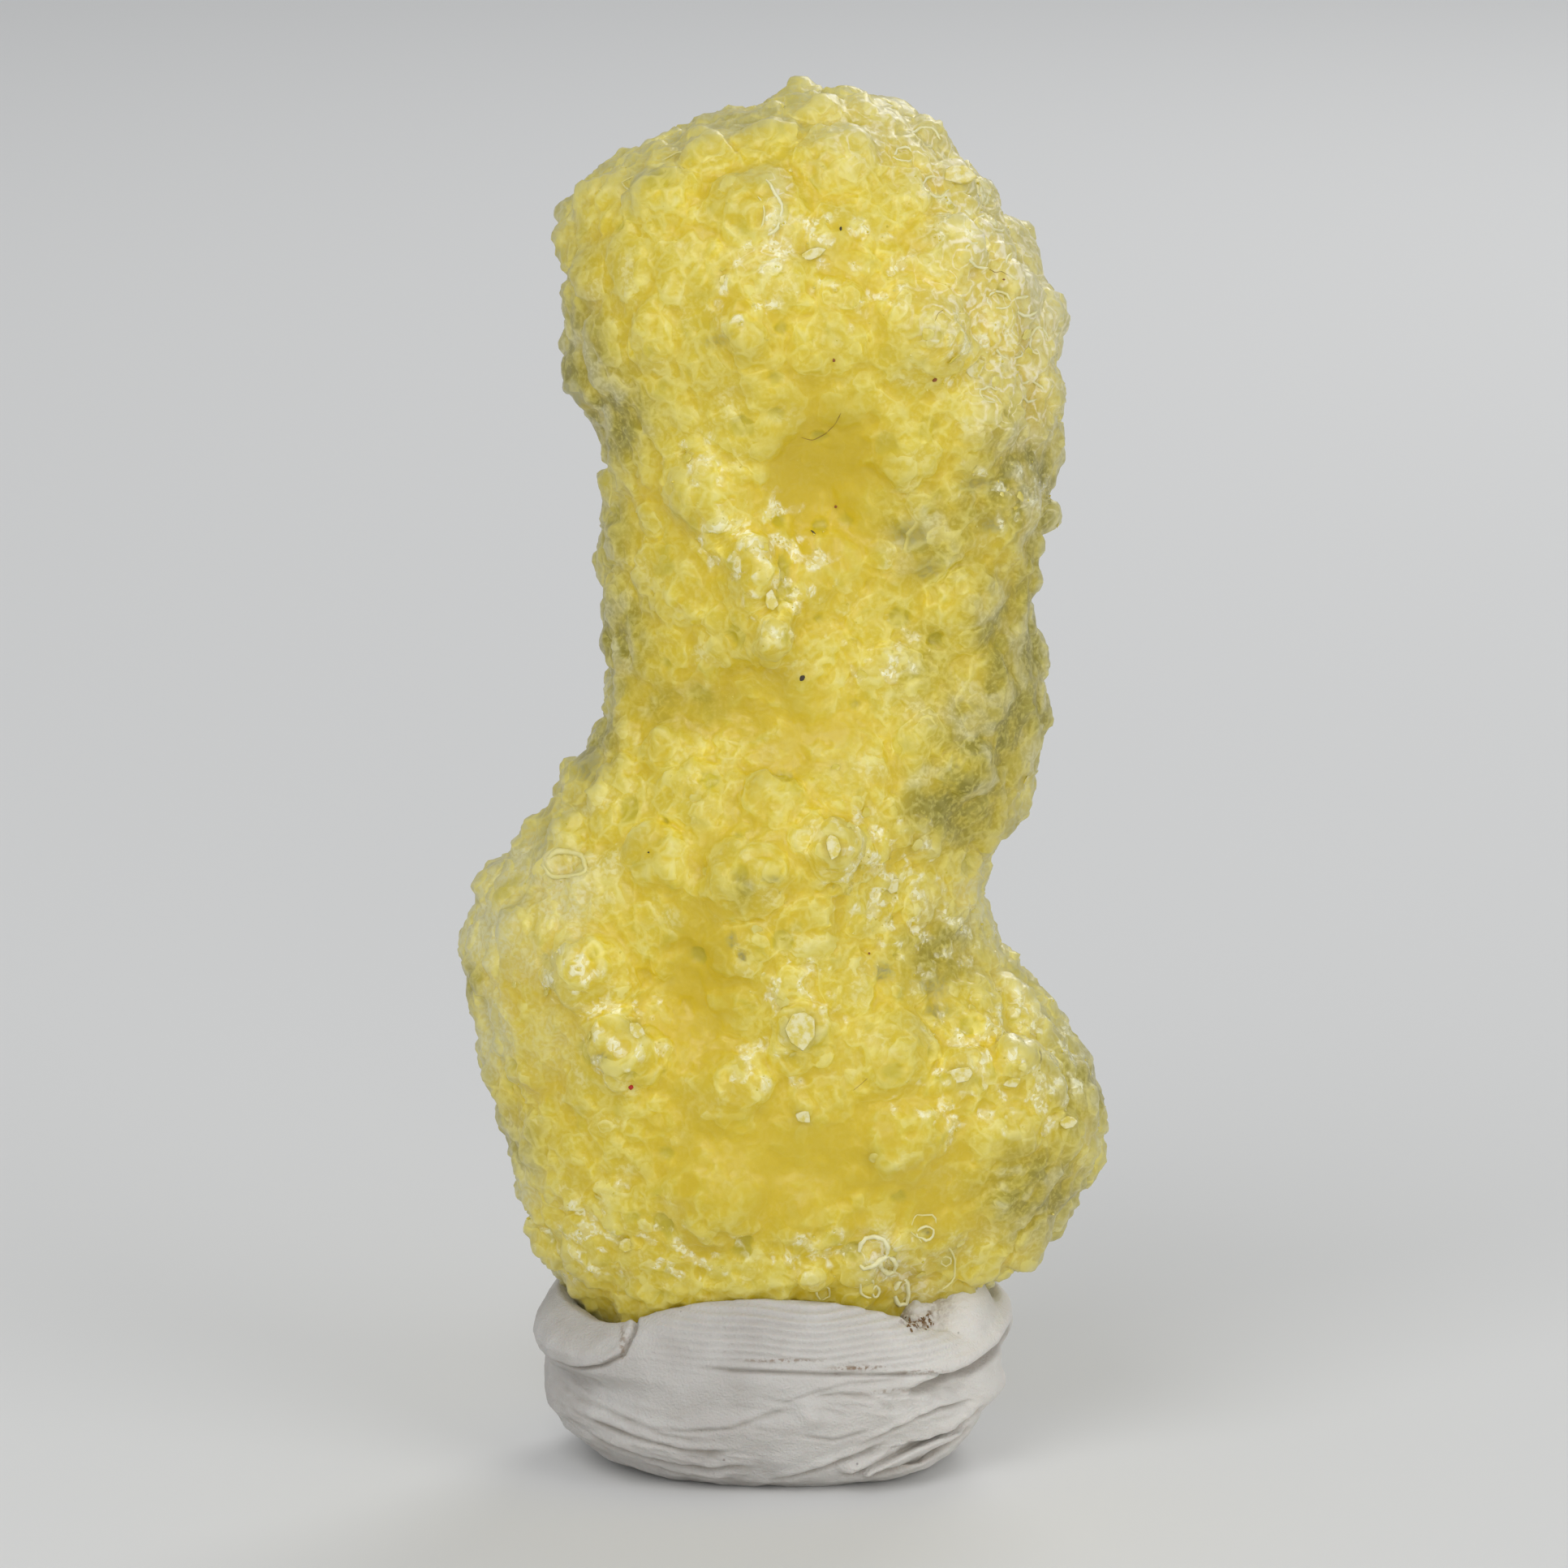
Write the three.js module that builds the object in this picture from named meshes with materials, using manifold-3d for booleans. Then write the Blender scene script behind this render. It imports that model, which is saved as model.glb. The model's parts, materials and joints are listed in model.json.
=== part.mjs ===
// A brucite specimen: an upright mass of lemon-yellow botryoidal brucite, cobbled all over with small
// dished nodules, pressed into a wad of white mounting putty that has a flat foot.
// Millimetres, +Z up. The origin is the middle of the putty's flat foot, the broad face looks along -Y.

import * as THREE from "three";
import { ConvexHull } from "three/addons/math/ConvexHull.js";
import { mergeVertices } from "three/addons/utils/BufferGeometryUtils.js";
import Module from "manifold-3d";

const wasm = await Module();
wasm.setup();

// Driving dimensions of the brucite

// Ribs across the mass, from its hidden lower end to its top: the left end, the right end,
// and how far the mass swells to the front and to the back between them.
const RIBS = [
  { left: [-8.4, 4.6], right: [6.0, 4.6], front: 5.0, back: 4.5 },
  { left: [-12.2, 8.4], right: [8.0, 8.4], front: 7.4, back: 6.8 },
  { left: [-13.9, 11.4], right: [12.9, 11.8], front: 8.6, back: 7.8 },
  { left: [-16.5, 14.8], right: [18.1, 14.8], front: 9.8, back: 8.8 },
  { left: [-17.2, 18.4], right: [19.7, 18.6], front: 10.6, back: 9.3 },
  { left: [-18.5, 23.0], right: [20.5, 22.9], front: 11.0, back: 9.6 },
  { left: [-18.8, 26.4], right: [19.0, 26.2], front: 11.0, back: 9.6 },
  { left: [-19.8, 30.0], right: [15.9, 29.4], front: 10.9, back: 9.5 },
  { left: [-20.5, 33.0], right: [13.5, 31.4], front: 10.8, back: 9.3 },
  { left: [-19.2, 35.8], right: [12.5, 34.6], front: 10.6, back: 9.0 },
  { left: [-16.7, 39.0], right: [12.1, 37.2], front: 10.4, back: 8.8 },
  { left: [-13.6, 43.0], right: [14.9, 41.2], front: 10.0, back: 8.6 },
  { left: [-11.8, 46.6], right: [16.2, 44.8], front: 9.2, back: 8.4 },
  { left: [-11.5, 50.0], right: [17.0, 49.6], front: 8.6, back: 8.3 },
  { left: [-11.7, 53.2], right: [15.5, 53.6], front: 8.6, back: 8.3 },
  { left: [-11.5, 58.6], right: [16.6, 58.2], front: 8.8, back: 8.6 },
  { left: [-11.2, 63.4], right: [17.4, 63.6], front: 9.4, back: 9.0 },
  { left: [-13.3, 67.4], right: [17.3, 69.0], front: 10.2, back: 9.6 },
  { left: [-14.1, 70.4], right: [16.9, 73.2], front: 10.6, back: 9.8 },
  { left: [-13.3, 74.4], right: [15.0, 76.9], front: 10.4, back: 9.6 },
  { left: [-14.7, 77.6], right: [12.7, 79.5], front: 9.6, back: 8.9 },
  { left: [-11.0, 80.6], right: [10.9, 81.8], front: 8.0, back: 7.6 },
  { left: [-6.4, 83.2], right: [9.0, 83.4], front: 6.0, back: 5.6 },
  { left: [-1.4, 84.0], right: [7.1, 84.7], front: 4.0, back: 3.8 },
];
const LOWER_END = [-1.2, 3.4];
const TOP_END = [3.3, 85.8];
const EDGE_INSET = 0.6; // the outline's ends lie this far in, and the nodules make up the rest

// Swells (height above 0) and hollows (below 0) on one face: x, z, reach across, reach up, height
const FRONT_RELIEF = [
  [-7.3, 80.6, 6.0, 5.0, 2.4],
  [3.9, 82.5, 5.0, 4.0, 1.2],
  [10.6, 74.0, 7.5, 8.0, 3.4],
  [12.4, 63.6, 6.0, 6.0, 3.0],
  [-9.6, 71.6, 5.5, 6.0, 2.2],
  [-4.4, 76.0, 2.6, 5.0, -1.3],
  [-1.0, 72.4, 5.0, 6.0, 1.9],
  [2.4, 61.6, 4.2, 6.6, -3.9],
  [-5.8, 62.0, 5.5, 5.0, 2.2],
  [-1.0, 55.4, 4.2, 5.6, 3.2],
  [4.9, 52.4, 2.4, 7.0, -1.8],
  [11.4, 51.4, 5.5, 6.0, 2.8],
  [10.8, 43.6, 5.0, 4.2, 2.4],
  [-3.6, 48.4, 8.0, 2.8, -2.8],
  [0.4, 40.2, 6.6, 6.4, 3.6],
  [-8.4, 43.0, 5.0, 5.0, 1.6],
  [-13.8, 34.8, 5.0, 4.8, 2.8],
  [-11.4, 27.2, 5.5, 6.0, 3.3],
  [-5.4, 29.6, 2.8, 8.0, -3.3],
  [0.6, 33.0, 4.5, 4.5, 2.0],
  [6.4, 25.8, 7.0, 5.6, 2.4],
  [15.4, 22.6, 5.2, 6.6, 3.0],
  [11.0, 30.4, 3.0, 4.4, -2.0],
  [8.4, 36.6, 4.0, 4.6, 1.6],
  [-3.2, 19.0, 8.0, 4.6, 1.6],
  [-12.2, 18.0, 4.5, 4.5, 1.8],
  [10.2, 17.8, 3.4, 5.0, -1.4],
];
const BACK_RELIEF = [
  [-5.0, 77.0, 6.5, 6.5, 2.8],
  [8.4, 71.0, 7.0, 7.5, 2.8],
  [2.0, 64.4, 5.5, 4.0, -2.6],
  [-6.4, 65.0, 5.0, 5.0, 2.0],
  [-4.0, 54.6, 6.0, 5.6, 2.8],
  [10.0, 52.0, 5.6, 6.0, 2.4],
  [3.2, 46.6, 6.0, 3.2, -2.2],
  [-8.0, 41.4, 6.0, 4.6, 2.0],
  [-13.0, 32.0, 6.0, 6.0, 2.4],
  [-5.4, 31.0, 3.0, 6.0, -2.2],
  [4.0, 34.6, 7.0, 6.0, 2.8],
  [-4.0, 22.0, 7.0, 6.0, 2.4],
  [13.4, 22.0, 6.0, 6.4, 2.8],
  [6.0, 18.6, 3.4, 5.0, -1.6],
];

// The largest nodules of the front, left to right from the top: x, z, radius, height
const FRONT_NODULES = [
  [-7.4, 80.4, 3.0, 1.5],
  [-2.2, 79.4, 2.8, 1.3],
  [4.0, 83.0, 2.6, 1.1],
  [10.3, 80.0, 2.2, 1.2],
  [-11.2, 75.0, 2.4, 1.2],
  [-7.8, 72.0, 2.4, 1.1],
  [-2.6, 72.4, 2.6, 1.4],
  [3.2, 72.4, 2.0, 1.2],
  [8.6, 72.6, 3.0, 1.2],
  [14.2, 74.0, 2.2, 1.1],
  [-0.8, 67.4, 2.4, 1.2],
  [12.2, 67.4, 2.8, 1.2],
  [-4.4, 62.4, 2.6, 1.5],
  [-9.0, 64.2, 2.2, 1.0],
  [7.4, 64.8, 2.4, 1.3],
  [13.6, 60.4, 2.6, 1.2],
  [-1.2, 57.8, 2.4, 1.5],
  [2.8, 57.4, 2.0, 1.3],
  [-7.0, 56.4, 2.4, 1.1],
  [-0.8, 54.2, 2.2, 1.4],
  [10.8, 55.2, 2.6, 1.2],
  [6.4, 51.0, 2.4, 1.2],
  [13.4, 49.6, 2.4, 1.1],
  [-7.2, 46.2, 2.4, 1.0],
  [10.6, 45.2, 2.4, 1.1],
  [-0.6, 44.4, 2.4, 1.2],
  [-7.8, 40.2, 3.2, 1.5],
  [3.2, 41.2, 1.8, 1.2],
  [-13.2, 39.2, 2.4, 1.6],
  [-1.6, 39.4, 2.8, 1.5],
  [-2.4, 35.0, 2.6, 1.4],
  [1.4, 35.8, 2.4, 1.3],
  [8.4, 37.6, 2.4, 1.0],
  [-12.6, 33.6, 2.4, 1.6],
  [-16.4, 35.0, 2.4, 1.1],
  [-10.0, 28.8, 3.2, 1.7],
  [-15.6, 28.0, 2.6, 1.2],
  [-2.8, 26.2, 2.6, 1.3],
  [1.2, 29.8, 2.0, 1.2],
  [6.6, 28.2, 2.6, 1.2],
  [11.2, 26.4, 2.4, 1.2],
  [16.2, 25.0, 2.6, 1.2],
  [6.6, 22.4, 2.4, 1.2],
  [14.6, 18.6, 2.6, 1.1],
  [-13.8, 20.2, 2.4, 1.1],
  [-4.6, 19.2, 3.2, 1.0],
  [2.4, 17.4, 2.4, 1.0],
  [8.8, 16.6, 2.2, 1.1],
];

// The other nodules, spread over the rest of the surface
const NODULE_COUNT = 376; // with the ones above and the two ends
const SCATTER_SEED = 11;
const PLACES_TRIED = 14; // for each of them, of which the one with the most room is taken
const SCATTER_RADIUS = [1.5, 2.6];
const SCATTER_HEIGHT = [0.35, 1.05];
const TOP_NODULE_HEIGHT = 0.7;
const EDGE_HEIGHT_SHARE = 0.6; // nodules on the outline's edges are lower by this share
const DISH_SHARE = [-0.35, 0.7]; // how deep a nodule's middle is dished, over its height, domed below 0
const RIM_SHARE = 0.62; // how far out a nodule's rim lies between its middle and the creases round it
const CREASE_SHARE = 0.5; // depth of a crease over the mean height of the nodules round it
const SMOOTH_BELOW = 8.6; // the end that is hidden in the putty has no nodules

// Flat cleavage flakes that catch the light on the front: x, z, half size, turn and tilt in degrees
const FLAKES = [
  [0.9, 29.9, 1.6, 8, 18],
  [3.1, 41.4, 1.2, -14, 24],
  [10.4, 77.4, 1.7, 22, 34],
  [-5.6, 29.4, 1.6, -10, 20],
  [13.7, 26.6, 1.3, 24, 20],
  [-0.7, 53.9, 1.3, 4, 14],
];
const FLAKE_THICKNESS = 4.0;
const FLAKE_PROUD = 1.4; // how far its face stands out from the mass
const FLAKE_SIDES = 6;

// Evens out spacing round the mass, which is about 1.7 times as wide as it is deep
const ROUND_EVENING = 0.13;
const CLIMB_STEPS = 240; // fineness of the table that keeps the mass's proportions on a sphere
const FRONT_TURN = Math.PI / 2; // a turn of 0 is the left edge, and the back is at minus this
const SPOT_PRECISION = 1e-5; // of the climb that is searched for a place on the front
const SWAP_MARGIN = 0.02; // radians past which two stretched neighbours swap their shared edge

// Driving dimensions of the putty

const SEAT_GAP = 0.3; // between the putty's seat and the brucite in it
// Rings from the middle of the foot, up the outside, over the rim and down into the hollow:
// reach to the left, right, front and back, and the heights there
const PUTTY_RINGS = [
  { reach: [6.0, 6.2, 4.8, 4.8], height: [0, 0, 0, 0] },
  { reach: [9.8, 9.4, 8.0, 7.8], height: [0, 0, 0, 0] },
  { reach: [12.0, 10.9, 9.3, 9.1], height: [0.9, 0.9, 0.7, 0.8] },
  { reach: [14.0, 12.2, 10.6, 10.4], height: [2.5, 2.5, 2.2, 2.4] },
  { reach: [14.9, 12.7, 11.3, 11.0], height: [4.0, 4.1, 3.9, 4.2] },
  { reach: [15.0, 12.9, 11.7, 11.1], height: [5.6, 5.5, 5.7, 5.8] },
  { reach: [15.2, 13.5, 11.7, 11.0], height: [7.0, 6.8, 7.6, 7.5] },
  { reach: [15.2, 14.3, 11.3, 10.8], height: [8.4, 8.3, 9.4, 9.0] },
  { reach: [14.8, 14.2, 10.6, 10.2], height: [9.8, 9.6, 10.9, 10.4] },
  { reach: [14.1, 13.5, 9.7, 9.5], height: [10.7, 10.4, 11.8, 11.2] },
  { reach: [13.2, 12.4, 8.7, 8.5], height: [10.3, 9.9, 11.5, 10.9] },
  { reach: [11.9, 10.9, 7.4, 7.2], height: [8.4, 7.4, 9.0, 8.6] },
  { reach: [8.0, 7.4, 4.6, 4.6], height: [6.2, 5.4, 6.4, 6.2] },
];
const HOLLOW_FLOOR = 5.4;
const PUTTY_SIDES = 44;
const PUTTY_SQUARENESS = 2.3; // exponent of the rings' outline, where 2 is an ellipse
// Where the rim rises or dips: angle from +X towards the back, half width in degrees, height
const RIM_WAVES = [
  [265, 26, 0.7],
  [318, 20, -1.5],
  [222, 18, -1.1],
  [150, 24, 0.6],
  [60, 30, -0.5],
];
const RIM_FROM_RING = 6; // the waves start at this ring and die out again at the hollow's floor
const FOLDED_RINGS = [2, 8]; // between these rings of the outside one more is put in halfway
// Folds pressed into the outside: angle and height of the middle, half width in degrees, half height,
// and how far it stands out, or sinks in below 0
const PUTTY_FOLDS = [
  [204, 8.8, 42, 2.0, 0.9],
  [210, 6.2, 40, 1.2, -1.2],
  [334, 6.8, 34, 1.2, -1.1],
  [354, 5.2, 12, 1.4, 0.9],
  [306, 1.3, 24, 1.2, 1.1],
  [310, 3.2, 30, 1.2, -1.0],
  [266, 6.0, 30, 1.0, -0.6],
  [236, 3.2, 26, 1.2, 0.6],
  [120, 4.4, 34, 1.6, -0.9],
  [70, 7.2, 28, 1.5, 0.9],
  [150, 7.4, 26, 1.4, 0.6],
];

const BRUCITE_YELLOW = 0xd9c24a;
const PUTTY_WHITE = 0xd6d1cb;

const MERGE_DISTANCE = 1e-4;

// Helpers

const { lerp } = THREE.MathUtils;

function seededRandom(seed) {
  let state = seed >>> 0;
  return () => {
    state = (Math.imul(state, 1664525) + 1013904223) >>> 0;
    return state / 4294967296;
  };
}

// A closed solid from any closed geometry: merged down to its corner positions.
function toSolid(geometry) {
  const bare = geometry.clone();
  bare.deleteAttribute("normal");
  bare.deleteAttribute("uv");
  const merged = mergeVertices(bare, MERGE_DISTANCE);
  return new wasm.Manifold(
    new wasm.Mesh({
      numProp: 3,
      vertProperties: merged.attributes.position.array,
      triVerts: new Uint32Array(merged.index.array),
    }),
  );
}

function toGeometry(solid) {
  const mesh = solid.getMesh();
  const geometry = new THREE.BufferGeometry();
  geometry.setAttribute("position", new THREE.BufferAttribute(mesh.vertProperties, 3));
  geometry.setIndex(new THREE.BufferAttribute(mesh.triVerts, 1));
  const flat = geometry.toNonIndexed();
  flat.computeVertexNormals();
  return flat;
}

// Rings of points joined into one closed skin, with a pole point below the first and past the last ring.
function skinOfRings(firstPole, rings, lastPole) {
  const sides = rings[0].length;
  const points = [firstPole, ...rings.flat(), lastPole];
  const last = points.length - 1;
  const faces = [];
  for (let j = 0; j < sides; j++) {
    const k = (j + 1) % sides;
    faces.push(0, 1 + k, 1 + j);
    for (let i = 0; i < rings.length - 1; i++) {
      const a = 1 + i * sides;
      const b = a + sides;
      faces.push(a + j, a + k, b + k, a + j, b + k, b + j);
    }
    const top = 1 + (rings.length - 1) * sides;
    faces.push(top + j, top + k, last);
  }
  const geometry = new THREE.BufferGeometry().setFromPoints(points);
  geometry.setIndex(faces);
  return geometry;
}

// A smooth hump: 1 in the middle, 0 from a distance of 1 outwards.
function bump(distance) {
  return distance < 1 ? (1 - distance * distance) ** 2 : 0;
}

// The brucite's main mass, as a smooth closed form

// Smooth rails up the left and right edges. Each carries the front or the back depth in its y.
function makeRails() {
  const foot = new THREE.Vector3(LOWER_END[0], 0, LOWER_END[1]);
  const top = new THREE.Vector3(TOP_END[0], 0, TOP_END[1]);
  const left = RIBS.map((rib) => new THREE.Vector3(rib.left[0] + EDGE_INSET, rib.front, rib.left[1]));
  const right = RIBS.map((rib) => new THREE.Vector3(rib.right[0] - EDGE_INSET, rib.back, rib.right[1]));
  return [
    new THREE.CatmullRomCurve3([foot, ...left, top], false, "centripetal"),
    new THREE.CatmullRomCurve3([foot, ...right, top], false, "centripetal"),
  ];
}

const [leftRail, rightRail] = makeRails();

function reliefAt(list, x, z) {
  return list.reduce(
    (sum, [cx, cz, acrossReach, upReach, height]) =>
      sum + height * bump(Math.hypot((x - cx) / acrossReach, (z - cz) / upReach)),
    0,
  );
}

// The point at a turn round the mass, from its left edge by its front, and a climb from 0 to 1.
function massPoint(turn, climb) {
  const left = leftRail.getPoint(climb);
  const right = rightRail.getPoint(climb);
  const across = (1 - Math.cos(turn)) / 2;
  const x = lerp(left.x, right.x, across);
  const z = lerp(left.z, right.z, across);
  const facing = Math.sin(turn);
  const depth = facing > 0 ? left.y : right.y;
  const relief = reliefAt(facing > 0 ? FRONT_RELIEF : BACK_RELIEF, x, z);
  return new THREE.Vector3(x, -facing * depth - Math.sign(facing) * relief * facing ** 2, z);
}

// The turn and climb at which the front passes x and z.
function frontSpot(x, z) {
  let low = 0;
  let high = 1;
  let across = 0.5;
  while (high - low > SPOT_PRECISION) {
    const climb = (low + high) / 2;
    const left = leftRail.getPoint(climb);
    const right = rightRail.getPoint(climb);
    across = THREE.MathUtils.clamp((x - left.x) / (right.x - left.x), 0, 1);
    if (lerp(left.z, right.z, across) < z) low = climb;
    else high = climb;
  }
  return [Math.acos(1 - 2 * across), low];
}

// The nodules that cover it

function makeNodule(turn, climb, radius, height, dishShare) {
  const place = massPoint(turn, climb);
  const broadside = lerp(EDGE_HEIGHT_SHARE, 1, Math.abs(Math.sin(turn)));
  const raised = place.z < SMOOTH_BELOW ? 0 : height * broadside;
  return { turn, climb, place, radius, height: raised, dish: raised * dishShare };
}

function spreadNodules() {
  const random = seededRandom(SCATTER_SEED);
  const between = ([least, most]) => lerp(least, most, random());
  const nodules = [makeNodule(0, 0, 0, 0, 0), makeNodule(0, 1, 1, TOP_NODULE_HEIGHT, 0)];
  for (const [x, z, radius, height] of FRONT_NODULES) {
    const [turn, climb] = frontSpot(x, z);
    nodules.push(makeNodule(turn, climb, radius, height, between(DISH_SHARE)));
  }
  while (nodules.length < NODULE_COUNT) {
    let best = null;
    let mostRoom = -Infinity;
    for (let k = 0; k < PLACES_TRIED; k++) {
      const even = 2 * Math.PI * random();
      const turn = even + ROUND_EVENING * Math.sin(2 * even);
      const nodule = makeNodule(turn, random(), between(SCATTER_RADIUS), between(SCATTER_HEIGHT), 0);
      const room = Math.min(...nodules.map((other) => other.place.distanceTo(nodule.place) - other.radius));
      if (room > mostRoom) {
        mostRoom = room;
        best = nodule;
      }
    }
    best.dish = best.height * between(DISH_SHARE);
    nodules.push(best);
  }
  return nodules;
}

// How far up a cylinder each climb lies when the mass is unrolled on it with its proportions kept.
function climbTable() {
  const table = [0];
  let sum = 0;
  for (let i = 0; i < CLIMB_STEPS; i++) {
    const middle = (i + 0.5) / CLIMB_STEPS;
    const width = massPoint(0, middle).distanceTo(massPoint(Math.PI, middle));
    const depth = massPoint(FRONT_TURN, middle).distanceTo(massPoint(-FRONT_TURN, middle));
    const start = massPoint(FRONT_TURN, i / CLIMB_STEPS);
    const end = massPoint(FRONT_TURN, (i + 1) / CLIMB_STEPS);
    const girthRadius = Math.hypot(width, depth) / Math.SQRT2 / 2;
    sum += start.distanceTo(end) / girthRadius;
    table.push(sum);
  }
  return table.map((value) => value - sum / 2);
}

// Which nodules are neighbours: laid out on a sphere, the faces of their hull join them in threes.
function neighbourThrees(nodules) {
  const table = climbTable();
  const dots = nodules.map(({ turn, climb }, index) => {
    const step = Math.min(Math.floor(climb * CLIMB_STEPS), CLIMB_STEPS - 1);
    const up = lerp(table[step], table[step + 1], climb * CLIMB_STEPS - step);
    const round = turn - ROUND_EVENING * Math.sin(2 * turn);
    const atAnEnd = climb === 0 || climb === 1;
    const ring = atAnEnd ? 0 : 1 / Math.cosh(up);
    const height = atAnEnd ? Math.sign(up) : Math.tanh(up);
    const dot = new THREE.Vector3(-Math.cos(round) * ring, -Math.sin(round) * ring, height);
    return Object.assign(dot, { index });
  });
  const hull = new ConvexHull().setFromPoints(dots);
  return hull.faces.map(({ edge }) => [
    edge.head().point.index,
    edge.next.head().point.index,
    edge.next.next.head().point.index,
  ]);
}

// For each edge between two nodules, the three that lies on its left.
function threesByEdge(threes) {
  const byEdge = new Map();
  threes.forEach((three, t) => three.forEach((i, k) => byEdge.set(`${i} ${three[(k + 1) % 3]}`, t)));
  return byEdge;
}

function angleAt(corner, from, to) {
  return from.clone().sub(corner).angleTo(to.clone().sub(corner));
}

// Swaps one edge where its two threes are stretched along it. Says whether it found one.
function swapOneEdge(threes, nodules) {
  const byEdge = threesByEdge(threes);
  for (const [edge, t] of byEdge) {
    const [i, j] = edge.split(" ").map(Number);
    const u = byEdge.get(`${j} ${i}`);
    const k = threes[t].find((corner) => corner !== i && corner !== j);
    const l = threes[u].find((corner) => corner !== i && corner !== j);
    const [a, b, c, d] = [i, j, k, l].map((corner) => nodules[corner].place);
    if (angleAt(c, a, b) + angleAt(d, a, b) > Math.PI + SWAP_MARGIN && !byEdge.has(`${k} ${l}`)) {
      threes[t] = [k, i, l];
      threes[u] = [l, j, k];
      return true;
    }
  }
  return false;
}

// The skin: each nodule has a middle, a rim point towards every crease corner round it, and the corners.
function bruciteSkin() {
  const nodules = spreadNodules();
  const threes = neighbourThrees(nodules);
  while (swapOneEdge(threes, nodules));
  const base = new THREE.BufferGeometry().setFromPoints(nodules.map(({ place }) => place));
  base.setIndex(threes.flat());
  base.computeVertexNormals();
  const normals = nodules.map((_, i) => new THREE.Vector3().fromBufferAttribute(base.attributes.normal, i));
  const middles = nodules.map(({ place, height, dish }, i) =>
    place.clone().addScaledVector(normals[i], height - dish),
  );
  const corners = threes.map((three) => {
    const [a, b, c] = three.map((i) => nodules[i]);
    const outward = new THREE.Triangle(a.place, b.place, c.place).getNormal(new THREE.Vector3());
    const depth = (CREASE_SHARE * (a.height + b.height + c.height)) / 3;
    const middle = a.place.clone().add(b.place).add(c.place).divideScalar(3);
    return middle.addScaledVector(outward, -depth);
  });
  const rims = threes.map((three, t) =>
    three.map((i) =>
      nodules[i].place.clone().lerp(corners[t], RIM_SHARE).addScaledVector(normals[i], nodules[i].height),
    ),
  );
  const cornerStart = middles.length;
  const rimStart = cornerStart + corners.length;
  const byEdge = threesByEdge(threes);
  const rimIndex = (i, t) => rimStart + 3 * t + threes[t].indexOf(i);
  const faces = [];
  for (const [edge, t] of byEdge) {
    const [i, j] = edge.split(" ").map(Number);
    const before = byEdge.get(`${j} ${i}`);
    faces.push(i, rimIndex(i, before), rimIndex(i, t));
    faces.push(rimIndex(i, before), cornerStart + before, cornerStart + t);
    faces.push(rimIndex(i, before), cornerStart + t, rimIndex(i, t));
  }
  const skin = new THREE.BufferGeometry().setFromPoints([...middles, ...corners, ...rims.flat()]);
  return skin.setIndex(faces);
}

// The same skin moved outwards all over.
function grownSkin(skin, distance) {
  const grown = skin.clone();
  grown.computeVertexNormals();
  const place = grown.attributes.position;
  const normal = grown.attributes.normal;
  const point = new THREE.Vector3();
  const outward = new THREE.Vector3();
  for (let i = 0; i < place.count; i++) {
    outward.fromBufferAttribute(normal, i);
    point.fromBufferAttribute(place, i).addScaledVector(outward, distance);
    place.setXYZ(i, point.x, point.y, point.z);
  }
  return grown;
}

// Flakes rooted in the mass, each with one flat face that looks to the front.
function flakeSolids() {
  return FLAKES.map(([x, z, halfSize, turnDeg, tiltDeg]) => {
    const flake = new THREE.CylinderGeometry(halfSize, halfSize, FLAKE_THICKNESS, FLAKE_SIDES);
    flake.translate(0, FLAKE_PROUD - FLAKE_THICKNESS / 2, 0);
    flake.rotateX(Math.PI - THREE.MathUtils.degToRad(tiltDeg));
    flake.rotateZ(THREE.MathUtils.degToRad(turnDeg));
    const { x: atX, y: atY, z: atZ } = massPoint(...frontSpot(x, z));
    flake.translate(atX, atY, atZ);
    return toSolid(flake);
  });
}

function bruciteSolid(skin) {
  return flakeSolids().reduce((mass, flake) => mass.add(flake), toSolid(skin));
}

// The putty

function rimWave(angleDeg) {
  return RIM_WAVES.reduce((sum, [middle, halfWidth, height]) => {
    const away = Math.abs(((angleDeg - middle + 540) % 360) - 180);
    return sum + height * Math.exp(-((away / halfWidth) ** 2));
  }, 0);
}

// How much of the rim's waves a ring takes.
function rimShare(index) {
  const past = index - RIM_FROM_RING;
  const steps = PUTTY_RINGS.length - 1 - RIM_FROM_RING;
  return past <= 0 ? 0 : Math.sin((Math.PI * past) / (steps + 1));
}

// One ring's height at an angle, from its values at the left, right, front and back.
function around([left, right, front, back], cosine, sine) {
  const sideways = cosine < 0 ? left : right;
  const endways = sine < 0 ? front : back;
  return sideways * cosine ** 2 + endways * sine ** 2;
}

function foldAt(angleDeg, height) {
  return PUTTY_FOLDS.reduce((sum, [middle, middleHeight, halfWidth, halfHeight, outward]) => {
    const away = Math.abs(((angleDeg - middle + 540) % 360) - 180) / halfWidth;
    return sum + outward * bump(Math.hypot(away, (height - middleHeight) / halfHeight));
  }, 0);
}

// The rings' list with the halfway ones put in, each with its share of the rim's waves.
function allPuttyRings() {
  const halfway = (from, to) => from.map((value, k) => (value + to[k]) / 2);
  return PUTTY_RINGS.flatMap(({ reach, height }, index) => {
    const ring = { reach, height, share: rimShare(index), folded: index <= FOLDED_RINGS[1] };
    if (index < FOLDED_RINGS[0] || index >= FOLDED_RINGS[1]) return [ring];
    const next = PUTTY_RINGS[index + 1];
    const between = {
      reach: halfway(reach, next.reach),
      height: halfway(height, next.height),
      share: rimShare(index + 0.5),
      folded: true,
    };
    return [ring, between];
  });
}

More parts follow.
